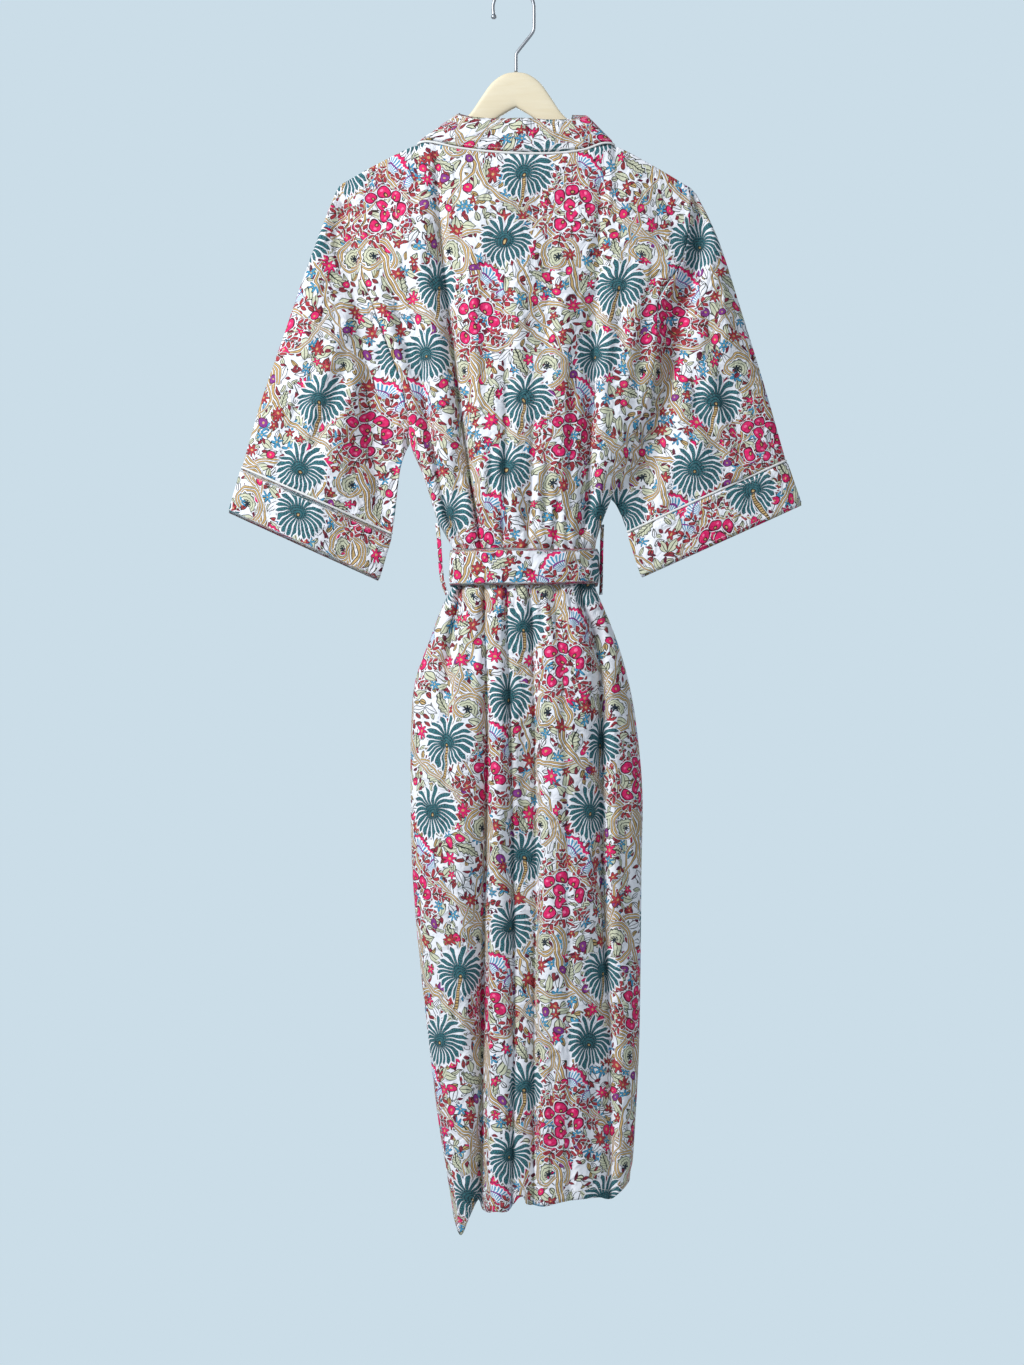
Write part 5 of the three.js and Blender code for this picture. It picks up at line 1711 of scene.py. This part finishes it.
@dataclass
class Belt:
    """The cloth belt round the waist, its knot and tails in front, and the two carriers."""

    form: BodyForm
    finishes: Finishes
    steps: int = 150
    across: int = 13
    thickness: float = 2.2
    print_start: float = 190.0
    knot_half: tuple = (24.0, 12.6, 24.0)
    knot_rings: int = 36
    knot_sides: int = 64
    tail_length: float = 390.0
    right_extra: float = 26.0
    tail_width: float = 40.0
    tail_thickness: float = 2.0
    tail_steps: int = 60
    carrier_across: int = 7
    carrier_steps: int = 36
    carrier_thickness: float = 1.4

    def waist_loop(self) -> np.ndarray:
        """Returns the waist's outline and its outward directions, evenly spaced."""
        row = self.form.section(WAIST_DROP)
        turn = 2 * math.pi * np.arange(720) / 720
        x = mix(row.x_left, row.x_right, (1 + np.cos(turn)) / 2)
        deep = row.edge + (row.back - row.edge) * np.sin(math.pi * row.share(x)) ** 0.75
        line = np.stack([x, np.where(np.sin(turn) < 0, -deep, deep)], axis=1)
        even = spread_evenly(np.concatenate([line, line[:1]]), self.steps)[:-1]
        for _ in range(2):
            even = (np.roll(even, 1, axis=0) + 2 * even + np.roll(even, -1, axis=0)) / 4
        way = np.roll(even, -1, axis=0) - np.roll(even, 1, axis=0)
        out = np.stack([way[:, 1], -way[:, 0]], axis=1)
        return np.concatenate([even, out / np.linalg.norm(out, axis=1, keepdims=True)], axis=1)

    def knot_centre(self) -> np.ndarray:
        """Returns the middle of the knot, over both layers of the belt."""
        waist = self.form.section(WAIST_DROP)
        return np.array([(waist.x_left + waist.x_right) / 2 - 6, waist.front + 3.6 + 1.2 + 12.5, BELT_Z])

    def ring(self) -> None:
        """Builds the belt's ring, with the soft pulls and buckles of tied cloth."""
        loop = self.waist_loop()
        g = shares(self.across)
        run = run_along(np.concatenate([loop[:, :2], loop[:1, :2]]))[:-1]
        arch = np.sin(math.pi * g)
        grid = []
        for far, (x, y, nx, ny) in zip(run, loop):
            back = y < 0
            bottom = BELT_BOTTOM + (2.0 * float(ease((x - 38) / 40)) if back else 0.0)
            top = BELT_TOP + 0.8 * math.sin(0.05 * far)
            pull = 0.9 * np.sin(0.11 * far + 3.0 * g) * arch
            crush = 1.5 * float(ease((x - 44) / 30)) * (1.0 if back else 0.0) * np.sin(11 * g) * arch
            out = mix(2.7, 3.7, float(ease((y + 20) / 40))) + pull + crush + 0.8 * arch
            grid.append(np.stack([x + nx * out, y + ny * out, mix(top, bottom, g)], axis=1))
        flat = strip_places(-(run - self.print_start), 14.0 - 43.0 * g)
        belt = folded_strip("belt_cloth", np.array(grid), self.thickness, flat, True, False)
        hand_over(belt, self.finishes.cotton, "print_cotton", "belt")

    def tails(self) -> None:
        """Builds the two hanging ends."""
        knot_x, knot_y, knot_z = self.knot_centre()
        g = shares(self.across)
        for side in (-1, 1):
            grid = []
            for f in shares(self.tail_steps + 1):
                z = knot_z - (24.4 + f * (self.tail_length + (0 if side < 0 else self.right_extra)))
                spread = float(ease(f * 3))
                x = knot_x + side * mix(13.5, 27.0, spread) + (g - 0.5) * mix(24.0, self.tail_width, spread)
                near = self.form.front_points(self.form.section(SHOULDER_Z - z), x, Hand.LEFT)[:, 1].max()
                curl = 3.4 * (1 - float(ease(f * 2.4))) * np.cos(2 * math.pi * g * 1.5 + side)
                y = mix(knot_y, near + 5.2, spread) + curl + 0.5 * np.sin(3 * g + 7 * f)
                sway = 1.3 * math.sin(9 * f + side) * float(ease(f * 2))
                grid.append(np.stack([x + sway, y, np.full_like(x, z)], axis=1))
            grid = np.array(grid)
            flat = strip_places(run_along(grid[:, self.across // 2]) + 60.0 * side, g * 40.0 - 20.0)
            name = "belt_tail_left" if side < 0 else "belt_tail_right"
            tail = folded_strip(name + "_cloth", grid, self.tail_thickness, flat, False, True)
            hand_over(tail, self.finishes.cotton, "print_cotton", name)

    def knot(self) -> None:
        """Builds the knot: a soft wrap with the folds that pull into it."""
        centre = self.knot_centre()
        rings, sides = self.knot_rings, self.knot_sides
        points, flat = [], []
        for i in range(rings + 1):
            lat = math.pi * min(max(i / rings, 0.004), 0.996)
            for k in range(sides):
                lon = 2 * math.pi * k / sides
                way = np.array([math.sin(lat) * math.cos(lon), math.sin(lat) * math.sin(lon), math.cos(lat)])
                folds = 1 + 0.045 * math.cos(5 * lon + 4 * lat) + 0.05 * math.cos(11 * way[0] + 2.0 * way[2])
                pinch = 1 - 0.16 * math.exp(-(way[0] / 0.3) ** 2) * (0.5 + 0.5 * way[1])
                place = way * np.array(self.knot_half) * folds * pinch
                place[1] = max(-11.6, place[1])
                points.append(centre + place)
                flat.append([58.0 + place[0] * 1.3, 8.0 + place[2] * 1.3])
        faces = tube_faces(rings + 1, sides, True)
        knot = mesh_object("belt_knot_cloth", np.array(points), faces, np.array(flat))
        hand_over(knot, self.finishes.cotton, "print_cotton", "belt_knot")

    def carriers(self) -> None:
        """Builds the two thin carriers at the side seams."""
        paths = {
            "left": (0.0, ((-94.6, -641), (-93.4, -652), (-92.2, -664), (-91.2, -680), (-90.2, -696),
                           (-88.4, -710), (-85.4, -720), (-81.9, -727.5))),
            "right": (-4.0, ((103.6, -643), (103.1, -654), (102.7, -668), (102.5, -684), (102.3, -700),
                             (102.0, -714), (101.5, -727))),
        }
        for name, (y, path) in paths.items():
            line = spread_evenly(np.array([[x, y, z] for x, z in path], float), self.carrier_steps)
            g = shares(self.carrier_across)
            twist = np.array([5.2 if name == "left" else 4.0, -6.0, 0.0])
            grid = np.array([[p + twist * (k - 0.5) for k in g] for p in line])
            flat = strip_places(run_along(line), g * 8.0) + 20.0
            strip = folded_strip(f"belt_loop_{name}_cloth", grid, self.carrier_thickness, flat, False,
                                 name == "right")
            hand_over(strip, self.finishes.cotton, "print_cotton", "belt_loop_" + name)

    def build(self) -> None:
        """Builds the whole belt."""
        self.ring()
        self.knot()
        self.tails()
        self.carriers()


BAR_EDGE = ((0, -100, -142), (14, -102.5, -150), (29, -113, -160), (42, -131, -167), (55, -150, -175),
            (72, -165, -184), (92, -183, -197), (105, -191.5, -204), (118, -195.5, -212), (132, -200, -219),
            (150, -208, -228), (180, -225, -243), (199, -237, -252))

HOOK_NECK = ((21.6, -34), (21.5, -46), (20.9, -50), (18.4, -54.4), (13.3, -61), (8.1, -67.5), (3, -74),
             (0.6, -77.6), (0, -82), (0, -90), (0, -99.6))
HOOK_BALL = ((10.4, 0.5), (10.0, 1.7), (9.2, 2.8), (8.2, 3.3), (7.0, 3.4), (5.8, 3.1), (4.8, 2.2), (3.8, 2.0))


@dataclass
class Hanger:
    """The wooden bar and its steel hook."""

    form: BodyForm
    finishes: Finishes
    thick: float = 12.0
    half: float = 204.0
    columns: int = 150
    sides: int = 28
    end_round: float = 9.0
    wire: float = 2.0
    wire_sides: int = 16
    arc: float = 24.6
    arc_turn: tuple = (188, -4)
    arc_steps: int = 60
    neck_steps: int = 45
    centre_x: float = -3.0

    def bar(self) -> None:
        """Builds the contoured bar with round edges."""
        near, upper, lower = zip(*BAR_EDGE)
        top = Track(near, upper)
        bottom = Track(near, lower)
        points = []
        for i in range(self.columns + 1):
            x = -math.cos(math.pi * i / self.columns) * (self.half - 0.2)
            near = abs(x)
            upper = float(top(near))
            if near >= 125:
                seam = float(self.form.seam_height(x)) - 1.7
                upper = mix(upper, seam, float(ease((near - 125) / 14)))
            lower = float(bottom(near))
            past = max(0.0, (near - (self.half - self.end_round)) / self.end_round)
            end = max(0.06, math.sqrt(max(0.0, 1 - past ** 2)))
            mid = (upper + lower) / 2
            if near >= 190:
                mid = mix(mid, -245.0 - 2 * (x > 0), 0.5)
            high = (upper - lower) / 2 * end
            deep = self.thick / 2 * max(end, 0.35)
            for k in range(self.sides):
                turn = 2 * math.pi * k / self.sides
                c, s = math.cos(turn), math.sin(turn)
                y = deep * math.copysign(abs(c) ** 0.42, c)
                z = mid + high * math.copysign(abs(s) ** 0.5, s)
                points.append([x, y, z])
        bar = mesh_object("hanger_bar_wood", np.array(points), tube_faces(self.columns + 1, self.sides))
        hand_over(bar, self.finishes.wood, "hanger_wood", "hanger_bar")

    def hook(self) -> None:
        """Builds the wire hook with its ball end."""
        turn = np.radians(np.linspace(*self.arc_turn, self.arc_steps))
        centre_z = self.wire - self.arc
        arc = np.stack([self.centre_x + self.arc * np.cos(turn), np.zeros(len(turn)),
                        centre_z + self.arc * np.sin(turn)], axis=1)
        lead = arc[0] - arc[1]
        lead = lead / np.linalg.norm(lead)
        far, radii = np.array(HOOK_BALL).T
        ball = arc[0] + lead * far[:, None]
        rest = np.concatenate([arc[-1:], np.array([(x, 0, z) for x, z in HOOK_NECK], float)])
        keys = run_along(rest)
        goal = np.linspace(0, keys[-1], self.neck_steps + 1)[1:]
        neck = np.stack([Track(keys, rest[:, k])(goal) for k in range(3)], axis=1)
        radius = np.concatenate([radii, np.full(len(arc) + len(neck), self.wire)])
        line = np.concatenate([ball, arc, neck])
        hook = round_cord("hanger_hook_wire", line, radius, self.wire_sides, False)
        hand_over(hook, self.finishes.steel, "hook_steel", "hanger_hook")

    def build(self) -> None:
        """Builds the hanger."""
        self.bar()
        self.hook()


@dataclass
class Sewing:
    """The rows of stitches, laid on the cloth by a node tree."""

    form: BodyForm
    sleeves: Sequence[Sleeve]
    band: CollarBand
    finishes: Finishes
    spacing: float = 3.4
    length: float = 2.3
    radius: float = 0.26
    above_panel: float = 0.75
    above_band: float = 1.35
    above_cuff: float = 2.0
    cuff_rows: tuple = (1.12, 1.93)

    def paths(self) -> list:
        """Returns the lines that are stitched."""
        row = self.form.section(LENGTH - HEM_STITCH_RISE)
        x = cos_line(row.x_left + 3, row.x_right - 3, 240)
        lines = [self.form.back_points(row, x) + np.array([0.0, -self.above_panel, 0.0])]
        for hand in Hand:
            start = row.x_left + 3 if hand is Hand.LEFT else row.x_right - 3
            seam = self.form.front_seam(row, hand) + hand.value * 3
            line = self.form.front_points(row, cos_line(start, seam, 120), hand)
            lines.append(line + np.array([0.0, self.above_panel, 0.0]))
        grid = self.band.stations()
        normal = np.swapaxes(grid_normals(np.swapaxes(grid, 0, 1), False), 0, 1)
        for k in (1, self.band.across - 2):
            for sign in (1.0, -1.0):
                lines.append(grid[:, k] + sign * self.above_band * normal[:, k])
        for sleeve in self.sleeves:
            for t in self.cuff_rows:
                ring, _ = sleeve.ring(t, self.above_cuff)
                lines.append(np.concatenate([ring, ring[:1]]))
        return lines

    def tree(self) -> bpy.types.NodeTree:
        """Builds the node tree that lays a stitch at each step of a line.

        Returns:
            The node group, with named inputs for its sizes.
        """
        tree = bpy.data.node_groups.new("rows of stitches", "GeometryNodeTree")
        tree.interface.new_socket("Geometry", in_out="INPUT", socket_type="NodeSocketGeometry")
        for name in ("Spacing", "Length", "Radius"):
            tree.interface.new_socket(name, in_out="INPUT", socket_type="NodeSocketFloat")
        tree.interface.new_socket("Thread", in_out="INPUT", socket_type="NodeSocketMaterial")
        tree.interface.new_socket("Geometry", in_out="OUTPUT", socket_type="NodeSocketGeometry")
        kinds = ("MeshToCurve", "CurveToPoints", "MeshCylinder", "InstanceOnPoints", "RealizeInstances",
                 "SetMaterial")
        curve, points, stitch, place, real, paint = (tree.nodes.new("GeometryNode" + kind) for kind in kinds)
        points.mode = "LENGTH"
        stitch.inputs["Vertices"].default_value = 6
        into = tree.nodes.new("NodeGroupInput").outputs
        out = tree.nodes.new("NodeGroupOutput")
        links = (
            (into["Geometry"], curve, "Mesh"), (curve.outputs["Curve"], points, "Curve"),
            (into["Spacing"], points, "Length"), (into["Radius"], stitch, "Radius"),
            (into["Length"], stitch, "Depth"), (points.outputs["Points"], place, "Points"),
            (points.outputs["Rotation"], place, "Rotation"), (stitch.outputs["Mesh"], place, "Instance"),
            (place.outputs["Instances"], real, "Geometry"), (real.outputs["Geometry"], paint, "Geometry"),
            (into["Thread"], paint, "Material"), (paint.outputs["Geometry"], out, "Geometry"),
        )
        for source, node, name in links:
            tree.links.new(source, node.inputs[name])
        return tree

    def build(self) -> None:
        """Lays the stitches and keeps them as one plain mesh."""
        points, edges = [], []
        for line in self.paths():
            first = len(points)
            points += (line * MM).tolist()
            edges += [[first + i, first + i + 1] for i in range(len(line) - 1)]
        guide_mesh = bpy.data.meshes.new("stitch guides")
        guide_mesh.from_pydata(points, edges, [])
        guide = bpy.data.objects.new("stitch guides", guide_mesh)
        bpy.context.scene.collection.objects.link(guide)
        tree = self.tree()
        laid = guide.modifiers.new("stitches", "NODES")
        laid.node_group = tree
        ids = {item.name: item.identifier for item in tree.interface.items_tree if item.in_out == "INPUT"}
        for name, size in (("Spacing", self.spacing), ("Length", self.length), ("Radius", self.radius)):
            laid[ids[name]] = size * MM
        laid[ids["Thread"]] = self.finishes.thread
        graph = bpy.context.evaluated_depsgraph_get()
        mesh = bpy.data.meshes.new_from_object(guide.evaluated_get(graph), depsgraph=graph)
        guide.modifiers.remove(laid)
        bpy.data.objects.remove(guide)
        mesh.name = "stitching"
        stitches = bpy.data.objects.new("stitching", mesh)
        bpy.context.scene.collection.objects.link(stitches)
        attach(stitches, "root")
        LOG.info("stitching: %d faces", len(mesh.polygons))


# The studio

@dataclass
class Studio:
    """The camera at the photograph's angle, the soft lights and the pale floor."""

    finishes: Finishes
    picture_wide: int = 1024
    picture_high: int = 1365
    mm_per_pixel: float = 1.2
    centre_x: float = 516.0
    top_pixel: float = -11.0
    distance: float = 3.4
    floor_z: float = -2.15
    floor_radius: float = 1500.0
    sensor: float = 36.0

    def camera(self) -> None:
        """Places the camera level with the middle of the frame."""
        data = bpy.data.cameras.new("camera")
        data.sensor_fit = "VERTICAL"
        data.sensor_height = self.sensor
        data.lens = self.sensor * self.distance / (self.picture_high * self.mm_per_pixel * MM)
        camera = bpy.data.objects.new("camera", data)
        x = (self.picture_wide / 2 - self.centre_x) * self.mm_per_pixel * MM
        z = (self.top_pixel - self.picture_high / 2) * self.mm_per_pixel * MM
        camera.location = (x, -self.distance, z)
        camera.rotation_euler = (math.radians(90), 0, 0)
        bpy.context.scene.collection.objects.link(camera)
        bpy.context.scene.camera = camera

    def lamp(self, name: str, place: tuple, aim: tuple, size: float, power: float, colour: tuple) -> None:
        """Adds one soft square lamp.

        Args:
            name: its name.
            place: where it stands, in metres.
            aim: what it points at.
            size: its side in metres.
            power: its power in watts.
            colour: its colour.
        """
        data = bpy.data.lights.new(name, "AREA")
        data.size = size
        data.energy = power
        data.color = colour
        lamp = bpy.data.objects.new(name, data)
        lamp.location = place
        way = np.array(aim) - np.array(place)
        down = math.acos(-way[2] / np.linalg.norm(way))
        lamp.rotation_euler = (down, 0, math.atan2(way[1], way[0]) - math.pi / 2)
        bpy.context.scene.collection.objects.link(lamp)

    def build(self) -> None:
        """Builds the studio round the robe."""
        self.camera()
        self.lamp("key", (-2.0, -1.65, 0.75), (0.0, 0.0, -0.55), 1.0, 88.0, (0.98, 0.99, 1.0))
        self.lamp("fill", (2.4, -2.4, -0.4), (0.0, 0.0, -0.8), 2.2, 9.0, (0.93, 0.97, 1.0))
        self.lamp("rear", (0.6, 2.8, 0.6), (0.0, 0.0, -0.7), 2.2, 40.0, (1.0, 1.0, 1.0))
        world = bpy.data.worlds.new("pale studio")
        world.use_nodes = True
        tree = world.node_tree
        sky = tree.nodes["Background"]
        sky.inputs[0].default_value = srgb(214, 226, 236)
        sky.inputs[1].default_value = 0.44
        seen = tree.nodes.new("ShaderNodeBackground")
        seen.inputs[0].default_value = srgb(203, 221, 232)
        ray = tree.nodes.new("ShaderNodeLightPath")
        choose = tree.nodes.new("ShaderNodeMixShader")
        tree.links.new(ray.outputs["Is Camera Ray"], choose.inputs[0])
        tree.links.new(sky.outputs[0], choose.inputs[1])
        tree.links.new(seen.outputs[0], choose.inputs[2])
        tree.links.new(choose.outputs[0], tree.nodes["World Output"].inputs[0])
        bpy.context.scene.world = world
        turn = 2 * math.pi * np.arange(96) / 96
        far = self.floor_radius
        level = np.full(len(turn), self.floor_z / MM)
        rim = np.stack([far * np.cos(turn), far * np.sin(turn), level], axis=1)
        floor = mesh_object("studio_floor", rim, [list(range(96))], None, False)
        floor.data.materials.append(self.finishes.floor)
        view = bpy.context.scene.view_settings
        view.view_transform = "Standard"
        view.look = "None"


def main() -> None:
    """Builds the robe, its hanger, its sewing and the studio, and notes their sizes."""
    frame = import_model()
    LOG.info("frame of %d solids", len(frame["nodes"]))
    finishes = Finishes()
    form = BodyForm()
    Studio(finishes).build()
    Panels(form, finishes).build()
    sleeves = [Sleeve(hand, form, finishes) for hand in Hand]
    for sleeve in sleeves:
        sleeve.build()
    band = CollarBand(form, finishes)
    band.build()
    Belt(form, finishes).build()
    Hanger(form, finishes).build()
    Sewing(form, sleeves, band, finishes).build()


if __name__ == "__main__":
    logging.basicConfig(level=logging.INFO, format="%(message)s")
    main()
